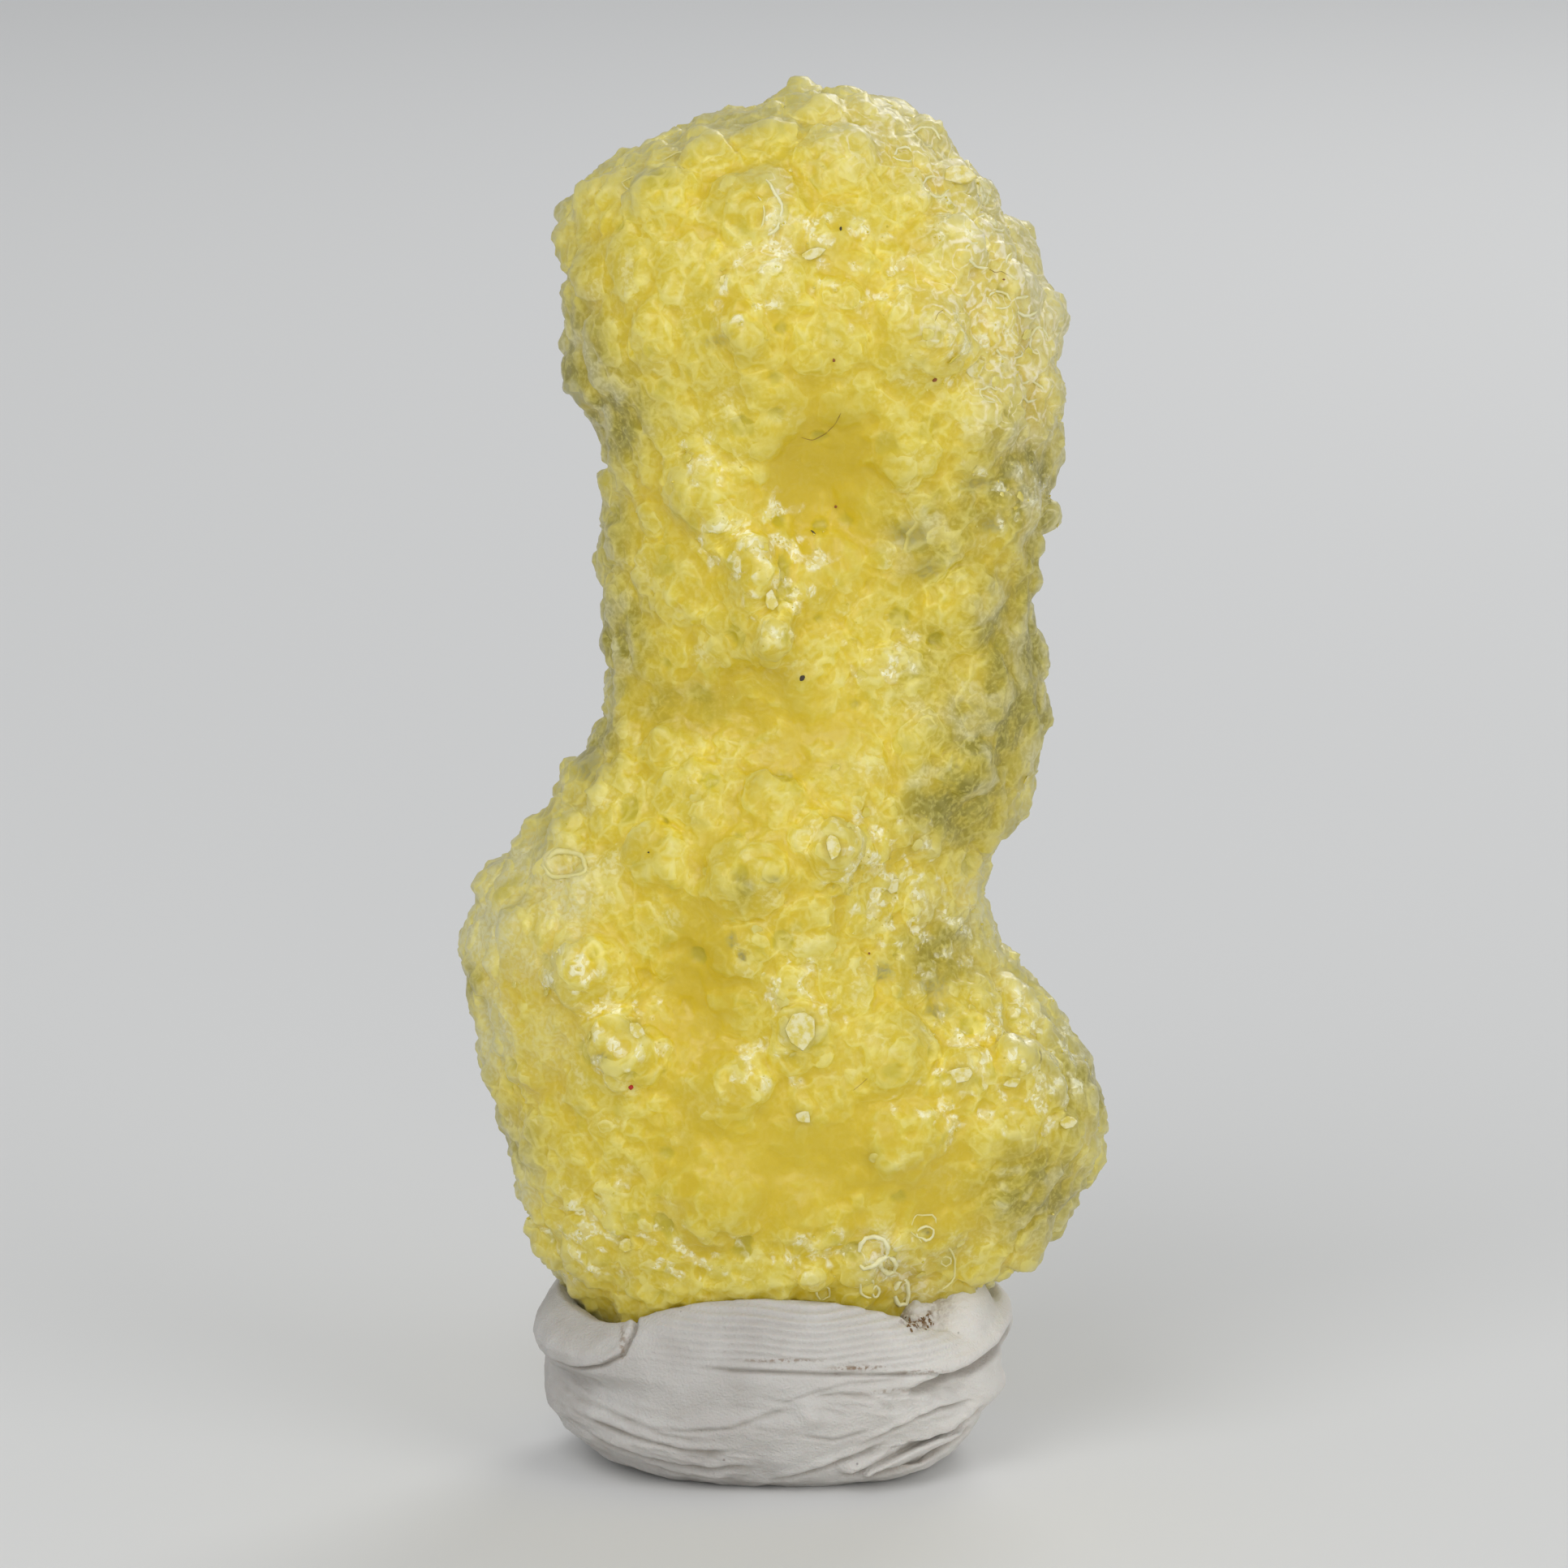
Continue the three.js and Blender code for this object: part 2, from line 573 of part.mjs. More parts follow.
function puttyPoint({ reach, height, share, folded }, angle) {
  const cosine = Math.cos(angle);
  const sine = Math.sin(angle);
  const across = cosine < 0 ? reach[0] : reach[1];
  const along = sine < 0 ? reach[2] : reach[3];
  const angleDeg = THREE.MathUtils.radToDeg(angle);
  const level = around(height, cosine, sine);
  const fold = folded && level > 0 ? foldAt(angleDeg, level) : 0;
  const power = 2 / PUTTY_SQUARENESS;
  return new THREE.Vector3(
    Math.sign(cosine) * (across + fold) * Math.abs(cosine) ** power,
    Math.sign(sine) * (along + fold) * Math.abs(sine) ** power,
    level + rimWave(angleDeg) * share,
  );
}

function puttySolid(bruciteWithGap) {
  const rings = allPuttyRings().map((ring) =>
    Array.from({ length: PUTTY_SIDES }, (_, j) => puttyPoint(ring, (j / PUTTY_SIDES) * 2 * Math.PI)),
  );
  const skin = skinOfRings(new THREE.Vector3(0, 0, 0), rings, new THREE.Vector3(0, 0, HOLLOW_FLOOR));
  return toSolid(skin).subtract(bruciteWithGap);
}

// The assembled specimen

function namedMesh(name, solid, material) {
  const mesh = new THREE.Mesh(toGeometry(solid), material);
  mesh.name = name;
  return mesh;
}

const bruciteFaces = bruciteSkin();

const specimen = new THREE.Group();
specimen.add(
  namedMesh(
    "brucite_mass",
    bruciteSolid(bruciteFaces),
    new THREE.MeshStandardMaterial({ color: BRUCITE_YELLOW, roughness: 0.35, metalness: 0 }),
  ),
  namedMesh(
    "putty_base",
    puttySolid(toSolid(grownSkin(bruciteFaces, SEAT_GAP))),
    new THREE.MeshStandardMaterial({ color: PUTTY_WHITE, roughness: 0.85, metalness: 0 }),
  ),
);

export default specimen;
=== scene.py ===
import json
import math
import random

import bpy
import numpy as np
from mathutils import Matrix, Vector, noise
from mathutils.bvhtree import BVHTree

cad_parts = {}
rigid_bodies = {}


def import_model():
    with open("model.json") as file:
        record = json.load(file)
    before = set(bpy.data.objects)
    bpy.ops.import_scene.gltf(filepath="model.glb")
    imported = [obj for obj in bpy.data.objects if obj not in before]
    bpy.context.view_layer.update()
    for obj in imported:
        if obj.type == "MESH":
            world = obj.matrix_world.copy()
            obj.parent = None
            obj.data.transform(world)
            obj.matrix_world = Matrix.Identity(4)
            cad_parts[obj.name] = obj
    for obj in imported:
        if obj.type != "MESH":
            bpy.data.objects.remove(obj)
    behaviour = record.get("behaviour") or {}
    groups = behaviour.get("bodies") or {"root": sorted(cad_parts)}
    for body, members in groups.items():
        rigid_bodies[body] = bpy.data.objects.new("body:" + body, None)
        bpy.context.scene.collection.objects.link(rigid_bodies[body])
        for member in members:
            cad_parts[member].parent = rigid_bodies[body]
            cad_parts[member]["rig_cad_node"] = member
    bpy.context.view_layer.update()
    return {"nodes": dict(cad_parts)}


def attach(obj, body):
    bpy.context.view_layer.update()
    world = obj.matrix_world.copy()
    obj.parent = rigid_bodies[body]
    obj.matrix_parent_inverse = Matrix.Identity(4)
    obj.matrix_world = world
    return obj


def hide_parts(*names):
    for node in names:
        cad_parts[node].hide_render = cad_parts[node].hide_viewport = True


# A brucite specimen: lemon-yellow botryoidal brucite that stands in a wad of white mounting putty.
# Lists of places are in millimetres in the frame's axes, and mm() takes them to metres.

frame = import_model()

MM = 0.001

# The view

CAMERA_ELEVATION_DEG = 12.0
CAMERA_DISTANCE = 0.6
CAMERA_TARGET = (0.0, 0.0, 0.04265)
FRAME_WIDTH_AT_TARGET = 0.0966
SENSOR_WIDTH = 36.0
CLIP_START = 0.01
SIGHT_FALL = math.tan(math.radians(CAMERA_ELEVATION_DEG))
# A line of sight is cast from this far in front of the plane y = 0, in millimetres
SIGHT_START = 40.0

# Floor and light

FLOOR_SIZE = 6.0
FLOOR_COLOUR = (0.78, 0.78, 0.77, 1.0)
ROOM_COLOUR = (0.9, 0.92, 0.95, 1.0)
ROOM_STRENGTH = 0.44
LIGHT_TARGET = (0.0, 0.0, 0.045)
# Name, place and size in metres, and power in watts
LIGHTS = [
    ("key", (-0.25, -0.5, 0.55), 0.5, 1.65),
    ("fill", (0.5, -0.45, 0.35), 0.5, 1.1),
    ("front", (0.0, -0.8, 0.12), 0.5, 1.05),
    ("rim", (0.25, 0.6, 0.5), 0.4, 1.4),
]

# Colours

DEEP_GOLD = (0.63, 0.46, 0.012, 1.0)
LEMON = (0.64, 0.49, 0.024, 1.0)
PALE_LEMON = (0.67, 0.545, 0.058, 1.0)
CREAM = (0.74, 0.65, 0.175, 1.0)
RIM_WHITE = (0.87, 0.83, 0.50, 1.0)
# Painted sheen on the sides of the mass
EDGE_SHEEN_HAZE = (0.56, 0.52, 0.24, 1.0)
PIT_OLIVE = (0.48, 0.40, 0.02, 1.0)
PEARL = (0.86, 0.83, 0.56, 1.0)
# Partly the clear brucite's own hue, partly painted shade seen through it
OLIVE_HUE_AND_SHADE = (0.235, 0.20, 0.012, 1.0)
CRUST = (0.80, 0.74, 0.38, 1.0)
MILKY = (0.68, 0.64, 0.36, 1.0)
SPOT_GREY = (0.17, 0.165, 0.07, 1.0)
CHALK = (0.86, 0.785, 0.54, 1.0)
SHEEN_TINT = (1.0, 0.97, 0.8, 1.0)
FLECK_RED = (0.45, 0.02, 0.01, 1.0)
RUST = (0.28, 0.09, 0.02, 1.0)
GRAIN_DARK = (0.05, 0.035, 0.02, 1.0)
FIBRE_BROWN = (0.30, 0.17, 0.04, 1.0)
PUTTY_GREY = (0.51, 0.485, 0.455, 1.0)
PUTTY_WHITE = (0.59, 0.57, 0.54, 1.0)
# Painted light: the putty's colour on its lit right side
PUTTY_LIT = (0.76, 0.73, 0.68, 1.0)
# Painted shade in the creases
PUTTY_CREASE_SHADE = (0.36, 0.32, 0.27, 1.0)
SOIL_BROWN = (0.20, 0.115, 0.045, 1.0)
SPECK_BROWN = (0.10, 0.07, 0.05, 1.0)

# The brucite skin's mesh, which is thinned behind and below what the photograph shows

BRUCITE_VOXEL = 0.21 * MM
BRUCITE_SMOOTHING = 12
BRUCITE_TRIANGLES = 195000
BACK_FROM_Y = 2.5 * MM
SUNK_BELOW_Z = 9.0 * MM
UNSEEN_KEPT = 0.17

# The solid's nodules are lowered to this share, before the finer growth is raised on them

NODULES_KEPT = 0.2
SIDE_NODULES_KEPT = 0.5
FLATTEN_ROUNDS = 240
CREST_ROUNDS = 120
CREST_SPAN = 0.5 * MM

# The growth: sizes and heights of its forms

WARP_SIZE = 0.9 * MM
WARP_REACH = 0.3 * MM
SWELL_SIZE = 4.0 * MM
SWELL_HEIGHT = 0.2 * MM
MOUND_SIZE = 2.6 * MM
MOUND_HEIGHT = 0.25 * MM
SIDE_SWELL = 1.7
DOME_SIZE = 1.25 * MM
DOME_HEIGHT = 0.34 * MM
DOME_PATCH = 3.4 * MM
# How far a dome reaches in cells, and the lowest dome's share of the full height
DOME_REACH = 0.62
DOME_LOWEST = 0.25
CELL_SIZE = 1.2 * MM
CELL_RIM_HEIGHT = 0.12 * MM
LOBE_SIZE = 1.1 * MM
LOBE_HEIGHT = 0.12 * MM
TORN_SIZE = 1.0 * MM
TORN_HEIGHT = 0.2 * MM
GRAIN_SIZE = 0.7 * MM
GRAIN_HEIGHT = 0.16 * MM
SHELLS_PER_LEVEL = 1.3
SHELL_HEIGHT = 0.11 * MM
SKIN_LIFT = 0.05 * MM
PIT_SIZE = 2.3 * MM
PIT_DEPTH = 0.3 * MM
# The pits' radii in cells, and the chance numbers between which a cell comes to hold a pit
PIT_RADII = (0.16, 0.34)
PIT_CHOICE = (0.72, 0.78)

# Patterns in the brucite's colour and shading

BROAD_SIZE = 7.0 * MM
PATCHY_SIZE = 2.2 * MM
MOTTLE_SIZE = 1.6 * MM
WORM_SIZE = 2.1 * MM
WORM_LINES = 9.0
FILM_SIZE = 0.28 * MM
GLINT_SIZE = 0.22 * MM
PEARLY_SIZE = 1.0 * MM
# How quiet the growth is on the clear patches, and how much of its shading is evened out
CLEAR_QUIET = 0.9
SOFTENED = 0.3
# The painted patches end at this y, and fade out over this length before it, in millimetres
FRONT_ENDS_AT_Y = 5.0
FRONT_FADE = 4.0

# Crystals on the skin

# ACROSS is how wide a crystal is modelled, and SIZES the range of its copies' scales
GRANULE_SEEDS = (40, 41, 42, 43)
GRANULE_CHANCE = 0.5
GRANULE_ACROSS = 0.18 * MM
GRANULE_FLATNESS = 0.8
GRANULE_LEAN = 0.5
GRANULE_SIZES = (0.5, 1.35)
GRANULE_SINK = 0.1 * MM
FLAKE_SEEDS = (60, 61, 62, 63)
FLAKE_CHANCE = 0.004
FLAKE_CHANCE_ELSEWHERE = 0.0002
FLAKE_ACROSS = 0.8 * MM
FLAKE_FLATNESS = 0.16
FLAKE_LEAN = 0.2
FLAKE_SIZES = (0.5, 1.3)

# Places on the brucite

# A height is where the camera's line of sight through the place crosses the plane y = 0.
# Patches: x, height, half width and half height in millimetres, and strength
SPARKLING_PATCHES = [
    (-12.6, 31.0, 2.2, 2.0, 0.8),
    (-9.8, 27.2, 2.8, 3.0, 1.0),
    (-12.4, 36.8, 2.0, 1.6, 0.5),
    (10.4, 78.4, 2.6, 3.2, 0.9),
    (0.6, 75.4, 3.4, 3.0, 0.8),
    (5.0, 74.0, 3.0, 3.6, 0.7),
    (-2.4, 72.6, 2.6, 2.6, 0.6),
    (11.0, 69.4, 3.0, 2.4, 0.8),
    (-2.0, 58.0, 3.0, 3.6, 0.8),
    (0.4, 55.0, 2.6, 3.6, 0.9),
    (-4.4, 62.4, 2.2, 2.2, 0.7),
    (5.8, 37.4, 3.4, 4.0, 0.9),
    (6.0, 50.6, 2.6, 2.4, 0.8),
    (8.6, 33.0, 4.0, 3.0, 0.8),
    (1.0, 29.6, 3.0, 2.6, 0.8),
    (-1.6, 25.6, 3.0, 2.0, 0.6),
    (12.6, 27.4, 4.2, 2.6, 0.9),
    (15.6, 24.0, 3.6, 4.0, 0.8),
    (10.0, 22.6, 4.0, 3.0, 0.6),
    (-11.4, 14.4, 3.6, 3.6, 0.75),
    (-5.2, 13.4, 4.0, 1.8, 0.75),
    (3.6, 13.2, 6.0, 1.8, 0.7),
    (13.4, 60.6, 3.4, 3.0, 0.6),
]
# Where the brucite is clear; the olive laid there is partly painted shade, the dark seen through it
CLEAR_PATCHES = [
    (-12.8, 68.6, 2.6, 4.6, 0.9),
    (-10.4, 65.2, 2.6, 3.2, 1.0),
    (-12.4, 74.0, 1.2, 3.0, 0.25),
    (-10.6, 58.4, 1.8, 4.0, 0.6),
    (-10.2, 52.0, 2.2, 3.8, 0.9),
    (-11.4, 45.6, 1.8, 2.6, 0.8),
    (-19.4, 29.8, 1.0, 1.7, 0.8),
    (-18.6, 23.4, 1.2, 2.0, 0.5),
    (-16.4, 19.6, 1.6, 2.6, 0.6),
    (14.6, 61.6, 3.2, 3.6, 1.0),
    (12.0, 60.4, 2.4, 2.6, 0.6),
    (15.4, 58.0, 1.6, 3.0, 0.9),
    (15.2, 48.0, 1.8, 4.0, 0.9),
    (9.0, 58.0, 3.2, 3.0, 0.6),
    (14.2, 52.0, 3.0, 4.6, 1.0),
    (12.8, 46.4, 3.8, 4.2, 1.0),
    (10.4, 41.6, 3.6, 3.2, 1.0),
    (8.4, 49.6, 2.4, 3.4, 0.5),
    (9.4, 32.4, 2.6, 2.6, 0.8),
    (18.6, 25.0, 2.6, 4.6, 0.8),
    (15.6, 17.0, 3.6, 3.4, 0.9),
    (-2.6, 36.0, 0.8, 1.0, 0.8),
    (-6.4, 47.6, 3.4, 1.6, 0.5),
]
GOLDEN_PATCHES = [
    (2.6, 61.0, 4.4, 7.4, 1.0),
    (0.6, 66.6, 4.4, 3.0, 0.5),
    (-3.2, 47.4, 7.4, 2.6, 0.8),
    (1.6, 46.0, 4.4, 4.6, 0.7),
    (-5.0, 29.2, 2.6, 7.4, 0.9),
    (-2.0, 38.0, 4.0, 4.0, 0.5),
    (0.4, 18.8, 9.4, 4.4, 0.9),
    (-4.4, 22.6, 3.4, 3.4, 0.6),
    (6.0, 21.0, 4.0, 3.6, 0.6),
    (8.6, 17.4, 4.0, 3.0, 0.7),
]
CHALKY_PATCHES = [
    (9.6, 81.0, 3.2, 3.4, 0.9),
    (12.4, 76.6, 3.4, 4.2, 1.0),
    (14.8, 72.0, 3.2, 5.0, 1.0),
    (11.0, 72.4, 3.6, 3.6, 0.8),
    (14.0, 67.4, 3.4, 3.6, 0.9),
    (15.4, 60.4, 1.6, 2.4, 0.35),
    (5.4, 82.6, 3.6, 2.4, 0.6),
    (-0.3, 78.6, 0.7, 1.4, 1.0),
    (-0.2, 76.4, 0.8, 1.2, 1.0),
    (-1.2, 74.8, 1.6, 0.7, 0.9),
    (5.8, 13.4, 1.6, 1.6, 0.9),
    (7.4, 11.6, 1.4, 1.2, 0.8),
    (-13.2, 36.0, 2.2, 2.4, 0.3),
]
MILKY_PATCHES = [
    (-18.4, 33.6, 2.4, 3.0, 1.0),
    (-13.2, 35.4, 1.9, 2.4, 0.7),
    (-15.4, 32.0, 2.0, 2.0, 0.5),
    (-14.2, 26.8, 1.8, 2.6, 0.4),
    (-17.8, 26.6, 1.5, 2.2, 0.9),
    (-16.2, 37.4, 2.2, 1.8, 0.9),
    (-13.8, 69.6, 1.6, 2.6, 0.6),
    (-17.6, 27.4, 1.2, 3.6, 0.8),
    (-16.2, 17.6, 1.2, 2.4, 0.8),
    (-11.6, 49.6, 1.4, 4.4, 0.6),
    (16.0, 73.0, 1.4, 5.0, 0.7),
    (17.6, 27.8, 2.4, 2.4, 0.5),
    (14.8, 51.4, 1.4, 2.0, 0.6),
    (11.6, 34.6, 2.0, 3.0, 0.7),
    (-13.6, 80.4, 1.4, 2.4, 0.4),
]
SPOTTED_PATCHES = [
    (-0.7, 36.9, 0.4, 0.3, 0.9),
    (-3.2, 33.2, 0.25, 0.5, 0.8),
    (-2.4, 31.9, 0.3, 0.7, 0.9),
    (5.6, 31.0, 0.6, 0.7, 0.8),
    (8.7, 29.9, 1.1, 0.7, 0.6),
    (9.2, 28.4, 1.0, 0.5, 0.6),
    (-11.1, 25.6, 0.6, 0.4, 0.7),
    (8.7, 14.8, 0.3, 0.22, 0.9),
    (7.8, 58.2, 1.2, 0.9, 0.6),
    (8.6, 56.0, 0.8, 0.5, 0.6),
    (-4.0, 70.0, 0.7, 0.4, 0.5),
    (-11.5, 43.4, 0.9, 1.0, 0.6),
    (1.2, 82.8, 0.5, 0.4, 0.5),
    (-12.8, 66.6, 1.0, 1.4, 0.6),
    (11.4, 61.4, 1.2, 0.5, 0.6),
    (12.8, 58.6, 1.0, 0.6, 0.6),
]

# Ringed nodules of the front: x, height, radius, ring width and rise in millimetres, and paleness
RING_NODULES = [
    (-7.2, 79.6, 2.3, 0.45, 0.5, 0.7),
    (-1.6, 77.8, 2.3, 0.5, 0.45, 0.9),
    (-8.0, 72.0, 1.9, 0.4, 0.4, 0.6),
    (-3.0, 71.8, 1.9, 0.5, 0.45, 0.7),
    (2.6, 80.4, 2.0, 0.4, 0.35, 0.5),
    (4.0, 84.0, 1.6, 0.35, 0.3, 0.4),
    (8.0, 76.2, 2.1, 0.5, 0.45, 0.6),
    (5.2, 71.0, 1.7, 0.4, 0.4, 0.5),
    (9.6, 69.0, 1.9, 0.4, 0.4, 0.5),
    (-5.6, 66.4, 1.8, 0.4, 0.35, 0.5),
    (0.4, 68.0, 1.5, 0.35, 0.3, 0.4),
    (11.2, 64.0, 2.0, 0.4, 0.4, 0.5),
    (-2.6, 60.6, 2.1, 0.45, 0.5, 0.8),
    (-7.8, 60.4, 2.0, 0.4, 0.4, 0.5),
    (-6.0, 54.6, 2.2, 0.4, 0.4, 0.5),
    (-0.8, 57.2, 1.8, 0.45, 0.5, 0.8),
    (2.8, 56.6, 1.7, 0.4, 0.45, 0.6),
    (-0.8, 54.2, 1.6, 0.4, 0.45, 0.7),
    (4.0, 52.4, 1.6, 0.35, 0.4, 0.5),
    (11.6, 53.8, 2.2, 0.4, 0.5, 0.6),
    (6.4, 49.6, 1.9, 0.5, 0.5, 0.7),
    (12.4, 49.2, 1.9, 0.35, 0.4, 0.6),
    (-9.2, 50.2, 1.6, 0.35, 0.3, 0.4),
    (11.8, 43.4, 2.1, 0.4, 0.4, 0.6),
    (-7.4, 44.4, 2.0, 0.4, 0.4, 0.6),
    (-1.2, 41.8, 2.0, 0.4, 0.45, 0.6),
    (2.4, 41.0, 1.8, 0.4, 0.45, 0.6),
    (6.2, 43.4, 1.9, 0.45, 0.5, 0.8),
    (-7.8, 38.6, 2.3, 0.45, 0.5, 0.8),
    (-1.4, 37.6, 2.1, 0.4, 0.5, 0.8),
    (-4.4, 34.4, 1.8, 0.35, 0.35, 0.5),
    (3.0, 39.0, 1.4, 0.35, 0.4, 0.7),
    (-13.2, 37.2, 1.9, 0.4, 0.6, 0.9),
    (-13.4, 34.0, 1.5, 0.4, 0.4, 0.7),
    (-12.4, 31.4, 1.9, 0.45, 0.6, 0.9),
    (-10.2, 26.8, 2.4, 0.5, 0.65, 0.9),
    (-16.4, 29.4, 1.7, 0.4, 0.4, 0.6),
    (-2.8, 33.6, 1.5, 0.35, 0.45, 0.7),
    (1.2, 34.0, 2.0, 0.45, 0.5, 0.7),
    (7.0, 34.0, 1.8, 0.4, 0.4, 0.6),
    (5.4, 29.6, 1.6, 0.4, 0.4, 0.6),
    (1.4, 28.0, 1.7, 0.45, 0.5, 0.8),
    (-2.6, 24.4, 1.9, 0.45, 0.5, 0.8),
    (6.6, 25.2, 1.7, 0.4, 0.4, 0.6),
    (2.0, 22.6, 1.3, 0.35, 0.35, 0.6),
    (6.4, 20.8, 1.9, 0.4, 0.45, 0.8),
    (12.6, 25.6, 2.0, 0.45, 0.45, 0.6),
    (15.6, 29.0, 1.9, 0.4, 0.4, 0.5),
    (16.8, 23.0, 1.9, 0.4, 0.4, 0.5),
    (-8.0, 21.4, 1.7, 0.35, 0.35, 0.5),
    (-14.0, 24.0, 1.8, 0.35, 0.4, 0.6),
    (-12.4, 17.6, 1.8, 0.4, 0.4, 0.6),
    (-6.4, 16.8, 1.7, 0.35, 0.35, 0.5),
    (0.6, 16.0, 1.8, 0.35, 0.35, 0.5),
    (9.2, 15.8, 1.9, 0.35, 0.4, 0.6),
    (5.6, 13.8, 1.3, 0.3, 0.35, 1.0),
    (-9.4, 11.8, 1.5, 0.35, 0.35, 0.7),
]
# Seeded ringed nodules elsewhere, with these sizes in millimetres
RING_COUNT_ELSEWHERE = 150
RING_RADII = (1.4, 2.3)
RING_WIDTH = 0.4
RING_HEIGHTS = (0.3, 0.5)
RING_PALENESS = (0.4, 0.7)
# A small one between others: radius, ring width, rise and paleness
CROWDED_RING = (1.0, 0.3, 0.2, 0.3)
CROWDED_RING_CHANCE = 0.01
RING_GAP = 2.2 * MM
RING_WOBBLE_SIZE = 0.8 * MM
RING_WOBBLE = 0.5 * MM
RING_BEND_SIZE = 2.2 * MM
RING_BEND = 1.1 * MM
# Oval pale rims on the front: x, height, half width, half height and thickness in millimetres,
# where the rim starts and how far it runs in degrees, and how white it is
OVAL_RIMS = [
    (7.28, 10.6, 0.47, 0.75, 0.3, 0, 360, 1.0),
    (5.65, 10.8, 0.2, 0.33, 0.18, 0, 360, 0.8),
    (5.1, 11.0, 0.5, 0.6, 0.2, 30, 270, 0.7),
    (2.4, 10.8, 0.4, 0.5, 0.14, 0, 360, 0.6),
    (9.0, 12.5, 1.5, 1.8, 0.14, -60, 170, 0.45),
    (9.95, 12.7, 0.3, 0.3, 0.12, 0, 360, 0.5),
    (8.68, 14.55, 0.5, 0.4, 0.16, 0, 360, 0.7),
    (8.6, 14.9, 0.9, 0.9, 0.12, 20, 240, 0.4),
    (-2.05, 77.7, 1.9, 1.9, 0.22, -75, 140, 1.0),
    (-2.35, 77.5, 1.2, 1.5, 0.13, -60, 110, 0.7),
    (-7.55, 80.0, 2.1, 2.0, 0.14, 20, 300, 0.35),
    (-13.3, 37.6, 1.3, 0.8, 0.36, 0, 360, 0.4),
    (8.6, 82.6, 0.9, 0.7, 0.18, 0, 300, 0.9),
    (7.2, 81.4, 0.6, 0.5, 0.16, 30, 300, 0.9),
    (9.2, 79.4, 0.8, 0.7, 0.17, 90, 260, 0.9),
    (12.6, 77.4, 0.9, 0.6, 0.18, 10, 320, 0.95),
    (12.0, 75.2, 1.1, 0.8, 0.18, 100, 240, 0.95),
    (14.0, 74.6, 0.7, 0.9, 0.18, 0, 290, 0.95),
    (14.6, 72.2, 0.8, 0.6, 0.18, 60, 300, 1.0),
    (13.0, 72.4, 0.7, 0.5, 0.16, 0, 330, 0.95),
    (15.4, 70.0, 0.6, 0.9, 0.17, 20, 280, 0.95),
    (13.6, 69.4, 0.8, 0.5, 0.16, 120, 250, 0.9),
    (15.0, 67.0, 0.7, 0.6, 0.16, 0, 300, 0.9),
    (12.4, 66.6, 0.6, 0.5, 0.14, 40, 270, 0.8),
]
# A rim leaves out places that lie further than this from its usual depth, in millimetres
RIM_REACH = 1.6
RIM_SMOOTHING = 3
TUBE_WOBBLE_SIZE = 0.6 * MM
TUBE_END_RADIUS = 0.3
# The two joined loops above the putty: whether closed, then points as x and height in millimetres
LOOPS = [
    (False, (4.6, 13.3), (4.7, 13.9), (4.98, 14.27), (5.55, 14.37), (6.12, 14.17),
     (6.35, 13.69), (6.3, 13.2)),
    (False, (6.3, 13.2), (6.1, 12.95), (5.83, 12.83), (5.6, 12.6), (5.27, 12.43),
     (4.89, 12.33), (4.6, 12.6)),
    (True, (5.83, 12.83), (5.93, 12.37), (6.3, 11.97), (6.73, 12.06), (6.88, 12.45),
     (6.73, 12.84), (6.4, 13.13)),
]
LOOP_THICKNESS = 0.32
LOOP_STEPS = 4
# Thickness and lift of the flat faces in millimetres, and how far round them the skin stays bare
FACE_CORNERS = 7
FACE_THICKNESS = 0.34
FACE_LIFT = 0.16
FACE_BEVEL = 0.06 * MM
FACE_MARGIN = 1.1
# Flat cleavage faces: x, height, half width and half height in millimetres, and turn in degrees
FLAT_FACES = [
    (0.95, 27.5, 0.95, 1.25, -15),
    (2.95, 38.8, 0.5, 0.8, 10),
    (10.7, 24.6, 0.9, 0.5, 15),
    (13.9, 24.0, 0.6, 0.35, 0),
    (10.6, 80.1, 1.1, 0.7, -30),
    (1.2, 22.0, 0.5, 0.45, 20),
    (-0.8, 53.9, 0.45, 0.7, -5),
    (1.7, 75.1, 0.8, 0.4, 25),
    (-9.0, 27.3, 0.55, 0.55, -20),
    (11.4, 68.2, 0.7, 0.6, 40),
    (17.4, 21.5, 0.6, 0.45, 10),
    (6.6, 36.4, 0.5, 0.4, 60),
    (-9.6, 13.8, 0.5, 0.45, 15),
]
# Dirt: x and height of the place, the grain's width and height in millimetres, and its turn
RED_FLECKS = [(-9.35, 23.8, 0.42, 0.34, 60)]
RUSTY_GRAINS = [
    (3.0, 68.6, 0.2, 0.28, 0),
    (9.05, 67.4, 0.42, 0.26, 30),
    (3.15, 59.8, 0.24, 0.22, 0),
    (5.15, 32.1, 0.2, 0.16, 0),
    (13.2, 73.7, 0.2, 0.14, 0),
]
DARK_GRAINS = [
    (1.1, 49.2, 0.42, 0.36, 20),
    (1.75, 58.2, 0.48, 0.13, -45),
    (-8.2, 38.4, 0.16, 0.14, 0),
    (3.4, 76.6, 0.3, 0.2, 80),
]
DIRT = [
    ("red_flecks", RED_FLECKS, FLECK_RED),
    ("rusty_grains", RUSTY_GRAINS, RUST),
    ("dark_grains", DARK_GRAINS, GRAIN_DARK),
]
DIRT_LIFT = 0.05 * MM
# Loose fibres: thickness in millimetres, then the points they run through
FIBRES = [
    (0.04, (1.0, 64.0), (1.7, 63.8), (2.5, 64.2), (3.1, 64.8), (3.5, 65.6)),
    (0.035, (12.3, 74.3), (12.7, 74.1), (13.1, 74.2), (13.6, 73.9)),
    (0.035, (9.0, 70.9), (9.2, 71.4), (9.6, 71.7)),
    (0.03, (4.2, 23.6), (4.7, 24.0), (5.2, 24.5)),
]
FIBRE_STEPS = 5

# The putty: lengths that are not times MM are in millimetres, and heights are above the floor

PUTTY_VOXEL = 0.125 * MM
PUTTY_SMOOTHING = 22
PUTTY_TRIANGLES = 190000
